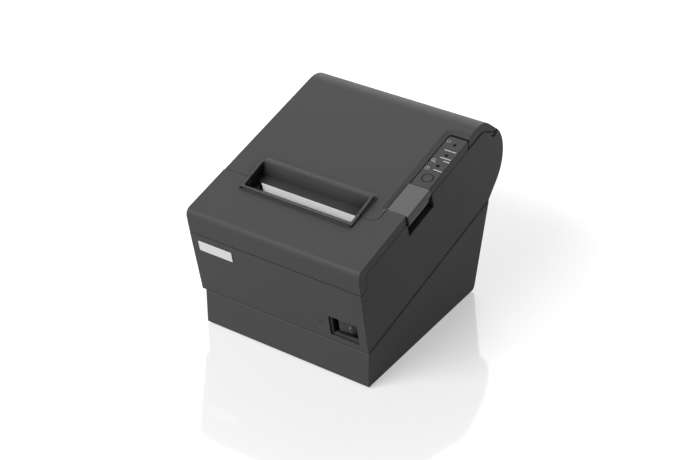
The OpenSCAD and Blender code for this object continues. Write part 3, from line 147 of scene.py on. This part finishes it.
# what every moulded plastic has, unless its own entry in plasticLook says otherwise
anyPlastic = {
    "roughness": 0.5,
    "grain": 0.0007,
    "grainDepth": 0.00006,
    "gloss": 0.12,  # specular level
    "soft": 0.0006,  # how round edges look, as a radius in metres
    "edge": (0.995, 0.88),  # likeness of the rounded and the real normal where the painted edge highlight starts and is full
    # patches that make the painted edge highlight uneven
    "paintedEdgePatches": {"Scale": 90, "Detail": 6, "Roughness": 0.7, "Distortion": 1.2},
    "paintedEdgePatchShare": 0.5,  # how much of the painted edge highlight comes and goes
    # how strong the painted edge highlight is
    "paintedEdgeStrength": 0.5,
    "paintedEdgeTone": 1.8,  # painted highlight on edges, as a factor on the colour; below 1 it is painted shade on edges
    "reach": 0.005,  # how far across hollows are looked for
    "shade": 1.0,  # how much painted shade hollows get
    "seamReach": 0.0007,  # how wide a seam may be
    "seam": 4,  # how much painted shade the edges of seams get
    "deepest": 0.1,  # the painted shade in the darkest hollow, as a factor on the colour
    "cloudSize": 0.03,
    "cloudTones": (0.96, 1.04),
    "cloudRough": 0.1,
    "grainRough": 0.12,
    "grainStrength": 0.5,
    "samples": 8,
}

plasticLook = {
    # the charcoal finishes are one plastic of nearly one colour; they differ in painted edge highlight and
    # painted shade
    "caseCharcoal": {"colour": grey(0.061), "soft": 0.0007, "seamAbove": 0.034},  # below this height the seams get no painted shade
    # the base: strong painted edge highlight, little painted shade in hollows and none at seams, so its seam
    # to the case shows light
    "baseCharcoal": {"colour": grey(0.061), "soft": 0.0009, "paintedEdgeStrength": 1.0, "shade": 0.3, "seam": 0},
    # the covers: strong painted highlight on the rims and deep painted shade in the paper outlet
    "coverCharcoal": {"colour": grey(0.059), "soft": 0.0009, "paintedEdgeStrength": 1.1, "paintedEdgeTone": 2.6, "shade": 1.7,
                      "reach": 0.02},
    # the panel: painted shade on its edges, in place of a painted highlight
    "panelCharcoal": {"colour": grey(0.058), "soft": 0.0008, "paintedEdgeStrength": 1.4, "paintedEdgeTone": 0.1},
    "leverGrey": {"colour": (0.124, 0.124, 0.127), "roughness": 0.42, "grain": 0.0006, "grainDepth": 0.00004,
                  "soft": 0.001},
    "rockerBlack": {"colour": (0.014, 0.014, 0.015), "roughness": 0.3, "grain": 0.002, "grainDepth": 0.00001,
                    "gloss": 0.25, "paintedEdgeStrength": 0.3},
    "satinBlack": {"colour": (0.012, 0.012, 0.013), "roughness": 0.3, "grain": 0.0008, "grainDepth": 0.00002,
                   "soft": 0.0003, "paintedEdgeStrength": 0.1},
    "innerBlack": {"colour": (0.02, 0.02, 0.021), "grainDepth": 0.00005},
    "badgeWhite": {"colour": grey(0.80), "roughness": 0.35, "grain": 0.002, "grainDepth": 0.00001,
                   "soft": 0.0003, "paintedEdgeStrength": 0, "shade": 0.3, "seam": 0.5},
    "gearIvory": {"colour": (0.74, 0.70, 0.60), "roughness": 0.42, "grain": 0.001, "grainDepth": 0.00002,
                  "soft": 0.0002, "paintedEdgeStrength": 0.05, "shade": 0.4, "seam": 0.3},
    "sensorWhite": {"colour": (0.78, 0.78, 0.76), "roughness": 0.4, "grain": 0.001, "grainDepth": 0.00002,
                    "soft": 0.0003, "paintedEdgeStrength": 0, "shade": 0.4, "seam": 0.5},
    "dialGreen": {"colour": (0.03, 0.22, 0.1), "roughness": 0.42, "grain": 0.0008, "grainDepth": 0.00003,
                  "soft": 0.0003, "paintedEdgeStrength": 0.1, "shade": 0.5, "seam": 0.5},
    "glazedCeramic": {"colour": (0.80, 0.77, 0.70), "roughness": 0.2, "grain": 0.003, "grainDepth": 0.00001,
                      "soft": 0.0003, "paintedEdgeStrength": 0, "shade": 0.3, "seam": 0.3},
    "rolledCard": {"colour": (0.40, 0.30, 0.20), "roughness": 0.75, "grain": 0.0008, "grainDepth": 0.0001,
                   "soft": 0.0003, "paintedEdgeStrength": 0.1, "shade": 0.4, "seam": 0.5},
    "markWhite": {"colour": grey(0.80), "grain": 0.001, "grainDepth": 0.00001, "paintedEdgeStrength": 0, "shade": 0,
                  "seam": 0},
    "lensSmoke": {"colour": grey(0.003), "roughness": 0.25, "grain": 0.002, "grainDepth": 0.00001,
                  "gloss": 0.04, "soft": 0.0001, "paintedEdgeStrength": 0, "seam": 0},
}


def mouldedPlastic(name, ownLook):
    look = {**anyPlastic, **ownLook}
    samples = {"samples": look["samples"]}
    finish, wire, shader = newFinish(name, {"Specular IOR Level": look["gloss"]})
    place = wire.add("TexCoord", out="Object")
    grain = noise(wire, place, look["grain"], detail=3, rough=0.6)
    cloud = noise(wire, place, look["cloudSize"], detail=3)
    paintedEdgePatches = wire.add("TexNoise", {}, {"Vector": place, **look["paintedEdgePatches"]})

    # an edge is where the rounded normal leaves the real one
    rounded = wire.add("Bevel", samples, {"Radius": look["soft"]})
    normal = wire.add("NewGeometry", out="Normal")
    likeness = wire.add("VectorMath", {"operation": "DOT_PRODUCT"}, {0: rounded, 1: normal}, out="Value")
    paintedEdgeStarts, paintedEdgeFull = look["edge"]
    edge = wire.add("MapRange", {}, {"Value": likeness, "From Min": paintedEdgeStarts, "From Max": paintedEdgeFull})
    # painted highlight along edges, in patches; where the factor is below 1 it is painted shade along edges
    patchy = (1 - look["paintedEdgePatchShare"]) + paintedEdgePatches * look["paintedEdgePatchShare"]
    body = clouded(wire, cloud, look)
    paintedEdges = twoTone(wire, edge * patchy * look["paintedEdgeStrength"], body, scaled(look["colour"], look["paintedEdgeTone"]))

    # painted shade in hollows and at seams: the rounded normal leans into a seam, so a seam's edges darken
    # and free edges don't
    hollow = 1 - wire.add("AmbientOcclusion", samples, {"Distance": look["reach"]}, out="AO")
    seamSockets = {"Distance": look["seamReach"], "Normal": rounded}
    seam = 1 - wire.add("AmbientOcclusion", samples, seamSockets, out="AO")
    if "seamAbove" in look:
        seam = seam * (wire.add("SeparateXYZ", {}, {"Vector": place}, out="Z") > look["seamAbove"])
    paintedShade = wire.calc("MINIMUM", hollow * look["shade"] + seam * look["seam"], 1)
    plug(twoTone(wire, paintedShade, paintedEdges, scaled(look["colour"], look["deepest"])), shader, "Base Color")

    uneven = (cloud - 0.5) * look["cloudRough"] + (grain - 0.5) * look["grainRough"]
    plug(look["roughness"] + uneven, shader, "Roughness")
    bump(wire, shader, grain, look["grainDepth"], {"Strength": look["grainStrength"], "Normal": rounded})
    return finish


anyRubber = {"gloss": 0.3, "roughness": 0.7, "grain": 0.0003, "grainDepth": 0.00003, "cloudSize": 0.01,
             "cloudTones": (0.8, 1.3), "cloudRough": 0.2}
rubberLook = {
    "footRubber": {"colour": grey(0.02)},
    "platenRubber": {"colour": (0.03, 0.03, 0.032)},
}


def softRubber(name, ownLook):
    look = {**anyRubber, **ownLook}
    finish, wire, shader = newFinish(name, {"Specular IOR Level": look["gloss"]})
    place = wire.add("TexCoord", out="Object")
    grain = noise(wire, place, look["grain"])
    cloud = noise(wire, place, look["cloudSize"], detail=3)
    plug(clouded(wire, cloud, look), shader, "Base Color")
    plug(look["roughness"] + (cloud - 0.5) * look["cloudRough"], shader, "Roughness")
    bump(wire, shader, grain, look["grainDepth"])
    return finish


anyMetal = {"cloudSize": 0.02, "cloudTones": (0.85, 1), "cloudRough": 0.1, "streakRough": 0.25,
            "streakDepth": 0.00002}
metalLook = {  # brush is how fine the streaks are along each axis
    "platedSteel": {"colour": (0.66, 0.67, 0.69), "roughness": 0.35, "brush": (40, 900, 900)},
    "bladeSteel": {"colour": (0.72, 0.73, 0.75), "roughness": 0.25, "brush": (1200, 40, 40)},
    "castAluminium": {"colour": (0.78, 0.79, 0.80), "roughness": 0.4, "brush": (30, 800, 800)},
    "goldPlate": {"colour": (0.9, 0.66, 0.28), "roughness": 0.25, "brush": (300, 300, 300)},
}


def brushedMetal(name, ownLook):
    look = {**anyMetal, **ownLook}
    finish, wire, shader = newFinish(name, {"Metallic": 1})
    place = wire.add("TexCoord", out="Object")
    stretched = wire.add("Mapping", {}, {"Vector": place, "Scale": look["brush"]})
    streak = noise(wire, stretched, 1, detail=4, rough=0.6)
    cloud = noise(wire, place, look["cloudSize"], detail=3)
    plug(clouded(wire, cloud, look), shader, "Base Color")
    uneven = (streak - 0.5) * look["streakRough"] + (cloud - 0.5) * look["cloudRough"]
    plug(look["roughness"] + uneven, shader, "Roughness")
    bump(wire, shader, streak, look["streakDepth"])
    return finish


paperLook = {
    "thermalPaper": {"colour": (0.9, 0.9, 0.89), "gloss": 0.25, "roughness": 0.48, "fibre": 0.0009,
                     "fibreShade": 0.12, "fibreRough": 0.1, "fibreDepth": 0.00001,
                     "rings": {"Scale": 900, "Distortion": 0.6, "Detail": 2}, "ringShade": 0.5,
                     "cutFacing": 0.9, "shaded": 0.78},
}


def woundPaper(name, look):
    # smooth paper whose wound edge shows its layers as rings about the roll's axis
    finish, wire, shader = newFinish(name, {"Specular IOR Level": look["gloss"]})
    place = wire.add("TexCoord", out="Object")
    fibre = noise(wire, place, look["fibre"], detail=4, rough=0.7)
    low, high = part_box("paper_roll")
    centred = wire.add("VectorMath", {"operation": "SUBTRACT"}, {0: place, 1: (low + high) / 2})
    rings = wire.add("TexWave", {"wave_type": "RINGS", "rings_direction": "X"},
                     {"Vector": centred, **look["rings"]})
    normal = wire.add("NewGeometry", out="True Normal")
    sideways = wire.add("SeparateXYZ", {}, {"Vector": normal}, out="X")
    woundEdge = wire.add("Math", {"operation": "ABSOLUTE"}, {0: sideways}) > look["cutFacing"]
    shade = woundEdge * rings * look["ringShade"] + fibre * look["fibreShade"]
    plug(twoTone(wire, shade, look["colour"], scaled(look["colour"], look["shaded"])), shader, "Base Color")
    plug(look["roughness"] + fibre * look["fibreRough"], shader, "Roughness")
    bump(wire, shader, fibre, look["fibreDepth"])
    return finish


boardLook = {
    "greenBoard": {"colour": (0.015, 0.11, 0.05), "gloss": 0.5, "coat": 0.3, "cells": 420,
                   "trackStops": [(0.03, 1), (0.06, 0)], "trackShare": 0.6, "trackTone": 1.9,
                   "trackDepth": 0.00004, "roughness": 0.35, "cloudSize": 0.004, "cloudRough": 0.1},
}


def circuitBoard(name, look):
    # lacquered board with raised tracks along the borders of square cells
    finish, wire, shader = newFinish(name, {"Specular IOR Level": look["gloss"], "Coat Weight": look["coat"]})
    place = wire.add("TexCoord", out="Object")
    border = wire.add("TexVoronoi", {"feature": "DISTANCE_TO_EDGE", "distance": "MANHATTAN"},
                      {"Vector": place, "Scale": look["cells"]})
    track = wire.add("ValToRGB", {"stops": look["trackStops"]}, {"Fac": border})
    raised = scaled(look["colour"], look["trackTone"])
    plug(twoTone(wire, track * look["trackShare"], look["colour"], raised), shader, "Base Color")
    cloud = noise(wire, place, look["cloudSize"])
    plug(look["roughness"] + cloud * look["cloudRough"], shader, "Roughness")
    bump(wire, shader, track, look["trackDepth"])
    return finish


makers = [(mouldedPlastic, plasticLook), (softRubber, rubberLook), (brushedMetal, metalLook),
          (woundPaper, paperLook), (circuitBoard, boardLook)]
finishes = {name: make(name, look) for make, looks in makers for name, look in looks.items()}
print("finishes made:", len(finishes))

# every node that isn't listed here is of plated steel
nodeFinish = {
    "caseCharcoal": ["upper_case"],
    "baseCharcoal": ["lower_case", "switch_setting_cover"],
    "coverCharcoal": ["cutter_cover", "roll_cover"],
    "panelCharcoal": ["control_panel", "feed_button"],
    "leverGrey": ["open_lever"],
    "rockerBlack": ["power_rocker"],
    "satinBlack": ["switch_housing", "power_socket", "drawer_socket"],
    "innerBlack": ["cover_liner", "paper_bin"],
    "badgeWhite": ["badge_plate"],
    "gearIvory": ["platen_gear", "reduction_gear", "platen_bushes"],
    "sensorWhite": ["near_end_lever"],
    "dialGreen": ["cutter_dial"],
    "glazedCeramic": ["thermal_head"],
    "rolledCard": ["paper_core"],
    "lensSmoke": ["lamp_lenses"],
    "footRubber": ["rubber_feet"],
    "platenRubber": ["platen_roller"],
    "bladeSteel": ["fixed_blade", "moving_blade"],
    "castAluminium": ["head_heatsink"],
    "thermalPaper": ["paper_roll", "paper_web", "paper_lead"],
    "greenBoard": ["main_board", "interface_board", "panel_board"],
}
finishOf = {nodeName: finish for finish, nodeNames in nodeFinish.items() for nodeName in nodeNames}
for nodeName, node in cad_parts.items():
    node.data.materials.clear()
    node.data.materials.append(finishes[finishOf.get(nodeName, "platedSteel")])
print("nodes dressed:", len(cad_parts))

# seats are looked for along a line that starts clear of the printer, in metres
farAbove = 0.3
farInFront = -0.5


def seatOn(nodeName, start, aim):
    # a place on a node where a straight line meets it: X stays level, Z stands off the surface
    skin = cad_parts[nodeName].data
    tree = BVHTree.FromPolygons([v.co for v in skin.vertices], [p.vertices for p in skin.polygons])
    spot, normal = tree.ray_cast(Vector(start), Vector(aim))[:2]
    across = (Vector((1, 0, 0)) - normal * normal.x).normalized()
    turn = Matrix((across, normal.cross(across), normal)).transposed().to_4x4()
    return Matrix.Translation(spot) @ turn


def drawStrokes(name, strokes, width, seat, finish, body, slotName, flatten=1):
    # fine raised lines, each given by points in millimetres on its seat
    curve = bpy.data.curves.new(name, "CURVE")
    curve.dimensions = "3D"
    curve.bevel_depth = width / 2 * mm
    curve.bevel_resolution = 3
    curve.use_fill_caps = True
    for points in strokes:
        closed = points[0] == points[-1]
        points = points[:-1] if closed else points
        spline = curve.splines.new("POLY")
        spline.points.add(len(points) - 1)
        spline.use_cyclic_u = closed
        for target, (x, y, *height) in zip(spline.points, points):
            z = height[0] if height else 0
            target.co = (x * mm, y * mm, z * mm, 1)
    curve.materials.append(finishes[finish])
    piece = bpy.data.objects.new(name, curve)
    piece.matrix_world = seat @ Matrix.Diagonal((1, 1, flatten, 1))
    bpy.context.scene.collection.objects.link(piece)
    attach(piece, body)


def arc(midX, midY, radius, first=0, last=360, steps=28):
    turns = [math.radians(first + (last - first) * i / steps) for i in range(steps + 1)]
    points = [(midX + radius * math.cos(t), midY + radius * math.sin(t)) for t in turns]
    return points[:-1] + [points[0]] if last - first == 360 else points


def moved(strokes, alongX, alongY):
    return [[(x + alongX, y + alongY) for x, y in points] for points in strokes]


powerShape = {"ringFrom": 120, "ringTo": 420, "barFrom": 0.25, "barTo": 1.15}  # degrees, shares of the size


def powerSign(size):
    # a broken ring with a bar through its gap
    ring = arc(0, 0, size, powerShape["ringFrom"], powerShape["ringTo"])
    return [ring, [(0, size * powerShape["barFrom"]), (0, size * powerShape["barTo"])]]


def rollSign(rollRadius, coreRadius, drop, tail):
    # a roll from its side, with its end hanging down and out
    ending = [(rollRadius, 0), (rollRadius, -drop), (rollRadius + tail, -drop)]
    return [arc(0, 0, rollRadius), arc(0, 0, coreRadius), ending]


def feedSign(half, foot, shoulder, tip, barb):
    # a sheet with a pointed end, and an arrow up its middle
    sheet = [(-half, foot), (-half, shoulder), (0, tip), (half, shoulder), (half, foot), (-half, foot)]
    shaft = [(0, foot / 2), (0, shoulder)]
    arrowHead = [(-barb, shoulder - barb), (0, shoulder), (barb, shoulder - barb)]
    return [sheet, shaft, arrowHead]


# millimetres from the middle lamp, with X to the right and Y up the slope
panelMarks = {
    "seatX": -2,  # bare panel beside the lamp, where the seat is looked for
    "signX": -6.1,
    "signLine": 0.34,
    "signHeight": 0.25,  # how flat the lines are, where 1 is round
    "powerSize": 1.35,
    "roll": {"rollRadius": 1.5, "coreRadius": 0.55, "drop": 2.1, "tail": 1.2},
    "rollY": -8.3,
    "feed": {"half": 1.4, "foot": -1.2, "shoulder": 1.0, "tip": 2.1, "barb": 0.6},
    "feedY": -17.3,
    "bars": [(0.3, 4.1, 9.6), (0.9, -3.9, 8.6), (3.2, -6.6, 5.0), (2.2, -16.9, 7.0)],  # middle and length
    "barLine": 0.75,
    "barHeight": 0.1,
}


def makePanelMarks():
    # plain signs beside the lamps and the feed button, and plain bars where a legend would be
    marks = panelMarks
    low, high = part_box("lamp_lenses")
    middle = (low + high) / 2
    seat = seatOn("control_panel", (middle.x + marks["seatX"] * mm, middle.y, farAbove), (0, 0, -1))
    seat = seat @ Matrix.Translation((-marks["seatX"] * mm, 0, 0))
    lampPitch = (high.y - low.y) / 2 / mm
    signs = moved(powerSign(marks["powerSize"]), marks["signX"], lampPitch)
    signs += moved(rollSign(**marks["roll"]), marks["signX"], marks["rollY"])
    signs += moved(feedSign(**marks["feed"]), marks["signX"], marks["feedY"])
    bars = [[(x - length / 2, y), (x + length / 2, y)] for x, y, length in marks["bars"]]
    whiteOnCase = ("markWhite", "case", "white_plastic")
    drawStrokes("panel_signs", signs, marks["signLine"], seat, *whiteOnCase, marks["signHeight"])
    drawStrokes("panel_bars", bars, marks["barLine"], seat, *whiteOnCase, marks["barHeight"])


switchMarks = {
    "signX": -7.6,  # millimetres from the left side of the switch housing
    "signZ": -3,  # from its middle
    "signSize": 1.5,
    "signLine": 0.42,
    "signHeight": 0.7,
    "across": 0.58,  # where the painted highlight bar is on the rocker, as shares of its width and height
    "up": 0.4,
    "barHalf": 0.8,
    "barLine": 0.6,
    "barHeight": 0.2,
}


def makeSwitchMarks():
    marks = switchMarks
    toRear = (0, 1, 0)
    low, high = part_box("switch_housing")
    start = (low.x + marks["signX"] * mm, farInFront, (low.z + high.z) / 2 + marks["signZ"] * mm)
    seat = seatOn("upper_case", start, toRear)
    drawStrokes("power_sign", powerSign(marks["signSize"]), marks["signLine"], seat,
                "baseCharcoal", "case", "case_plastic", marks["signHeight"])
    # a short white bar, drawn as an on mark on the rocker's specular spot: painted highlight
    low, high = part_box("power_rocker")
    size = high - low
    start = (low.x + size.x * marks["across"], farInFront, low.z + size.z * marks["up"])
    seat = seatOn("power_rocker", start, toRear)
    bar = [(0, -marks["barHalf"]), (0, marks["barHalf"])]
    drawStrokes("rocker_highlight_bar", [bar], marks["barLine"], seat,
                "markWhite", "power_rocker", "white_plastic", marks["barHeight"])


# millimetres inwards from a socket's rear face and upwards from its foot
anyJack = {"pitch": 1.02, "rootIn": 9.2, "bendIn": 3.0, "bendHalf": 0.8, "bendRise": 0.3, "tipDip": 0.2,
           "line": 0.34}
jackContacts = {
    "network_socket": {"count": 8, "bendUp": 1.9, "rootUp": 5.2},
    "drawer_socket": {"count": 6, "bendUp": 2.5, "rootUp": 5.4},
}
dataContacts = {"aside": 1.3, "levels": (3.62, 6.78), "rootIn": 8, "tipIn": 2.4, "line": 0.5}


def socketPlace(nodeName):
    # a socket's middle, rear face and foot, in millimetres
    low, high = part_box(nodeName)
    return (low.x + high.x) / 2 / mm, high.y / mm, low.z / mm


def makeJackContacts(nodeName, jack):
    # sprung wires that run to the rear, bend and end inside the jack
    middle, rear, foot = socketPlace(nodeName)
    bendY, bendZ = rear - jack["bendIn"], foot + jack["bendUp"]
    wires = []
    for i in range(jack["count"]):
        x = middle + (i - (jack["count"] - 1) / 2) * jack["pitch"]
        wires.append([(x, rear - jack["rootIn"], foot + jack["rootUp"]),
                      (x, bendY - jack["bendHalf"], bendZ + jack["bendRise"]),
                      (x, bendY, bendZ),
                      (x, bendY + jack["bendHalf"], bendZ - jack["tipDip"])])
    drawStrokes(nodeName + "_contacts", wires, jack["line"], Matrix.Identity(4),
                "goldPlate", "case", "steel")


def makeDataContacts():
    # flat contacts on the data socket's tongue
    middle, rear, foot = socketPlace("data_socket")
    rootY, tipY = rear - dataContacts["rootIn"], rear - dataContacts["tipIn"]
    wires = [[(middle + side * dataContacts["aside"], y, foot + level) for y in (rootY, tipY)]
             for side in (-1, 1) for level in dataContacts["levels"]]
    drawStrokes("data_socket_contacts", wires, dataContacts["line"], Matrix.Identity(4),
                "goldPlate", "case", "steel")


makePanelMarks()
makeSwitchMarks()
for nodeName, ownJack in jackContacts.items():
    makeJackContacts(nodeName, {**anyJack, **ownJack})
makeDataContacts()
print("marks and contacts made")

# studio: a wide pale floor that whitens with distance, two soft lamps, a white surround and a camera
studio = {
    "floorHalf": 3.0,
    "floorTone": 0.5,
    "floorCloudTone": 1.02,
    "floorCloud": 0.3,
    "floorBounce": 0.18,  # what the floor throws back on the printer
    "floorLift": {"near": 0.46, "far": 0.8, "from": 0.15, "to": 0.45},
    "floorGloss": 0.4,
    "floorRoughness": 0.06,
    "floorRoughCloud": 0.02,
    "lamps": [
        {"name": "keyLamp", "place": (-0.5, -1.35, 1.3), "size": 1.0, "power": 38},
        {"name": "rearLamp", "place": (-0.7, 1.5, 1.0), "size": 1.4, "power": 14},
    ],
    "lampAim": (0, 0, 0.06),
    "worldLevel": 0.2,
    "camera": {"place": (0.5353, -0.8048, 0.6735), "azimuth": 33.84, "elevation": 32.34, "roll": 0.11,
               "focalPixels": 1559, "imageWidth": 690, "sensor": 36},
}


def shownRays(wire):
    # 1 on the rays that show the background: seen directly, mirrored or through a clear piece
    kinds = ("Is Camera Ray", "Is Glossy Ray", "Is Transmission Ray")
    direct, mirrored, through = (wire.add("LightPath", out=kind) for kind in kinds)
    return wire.calc("MINIMUM", direct + mirrored + through, 1)


def makeFloor():
    mesh = bpy.data.meshes.new("floor")
    half = studio["floorHalf"]
    corners = [(-half, -half, 0), (half, -half, 0), (half, half, 0), (-half, half, 0)]
    mesh.from_pydata(corners, [], [(0, 1, 2, 3)])
    floor = bpy.data.objects.new("floor", mesh)
    bpy.context.scene.collection.objects.link(floor)
    finish, wire, shader = newFinish("paleFloor", {"Specular IOR Level": studio["floorGloss"],
                                                   "Emission Strength": 1})
    place = wire.add("TexCoord", out="Object")
    cloud = noise(wire, place, studio["floorCloud"])
    seen = shownRays(wire)
    tone, lift = grey(studio["floorTone"]), studio["floorLift"]
    shown = twoTone(wire, cloud, tone, scaled(tone, studio["floorCloudTone"]))
    plug(twoTone(wire, seen, grey(studio["floorBounce"]), shown), shader, "Base Color")
    distance = wire.add("VectorMath", {"operation": "LENGTH"}, {0: place}, out="Value")
    glow = wire.add("MapRange", {"interpolation_type": "SMOOTHSTEP"},
                    {"Value": distance, "From Min": lift["from"], "From Max": lift["to"],
                     "To Min": lift["near"], "To Max": lift["far"]})
    plug(twoTone(wire, seen * glow, grey(0), grey(1)), shader, "Emission Color")
    plug(studio["floorRoughness"] + cloud * studio["floorRoughCloud"], shader, "Roughness")
    floor.data.materials.append(finish)


def makeLamps():
    for lamp in studio["lamps"]:
        data = bpy.data.lights.new(lamp["name"], "AREA")
        data.size = lamp["size"]
        data.energy = lamp["power"]
        lampObject = bpy.data.objects.new(lamp["name"], data)
        lampObject.location = lamp["place"]
        aim = Vector(studio["lampAim"]) - Vector(lamp["place"])
        lampObject.rotation_euler = aim.to_track_quat("-Z", "Y").to_euler()
        bpy.context.scene.collection.objects.link(lampObject)


def makeSurround():
    # white where it is seen, and dim where it lights the printer
    world = bpy.context.scene.world or bpy.data.worlds.new("studioAir")
    bpy.context.scene.world = world
    world.use_nodes = True
    background = world.node_tree.nodes["Background"]
    background.inputs["Color"].default_value = (1, 1, 1, 1)
    level = studio["worldLevel"]
    plug(level + shownRays(Wire(world.node_tree)) * (1 - level), background, "Strength")


def makeCamera():
    view = studio["camera"]
    around, above = math.radians(view["azimuth"]), math.radians(view["elevation"])
    level = math.cos(above)
    forward = Vector((-math.sin(around) * level, math.cos(around) * level, -math.sin(above)))
    data = bpy.data.cameras.new("camera")
    data.sensor_width = view["sensor"]
    data.lens = view["focalPixels"] * view["sensor"] / view["imageWidth"]
    camera = bpy.data.objects.new("camera", data)
    turn = forward.to_track_quat("-Z", "Y").to_matrix().to_4x4()
    roll = Matrix.Rotation(math.radians(view["roll"]), 4, "Z")
    camera.matrix_world = Matrix.Translation(view["place"]) @ turn @ roll
    bpy.context.scene.collection.objects.link(camera)
    bpy.context.scene.camera = camera


makeFloor()
makeLamps()
makeSurround()
makeCamera()
bpy.context.scene.view_settings.view_transform = "Standard"
print("studio set")
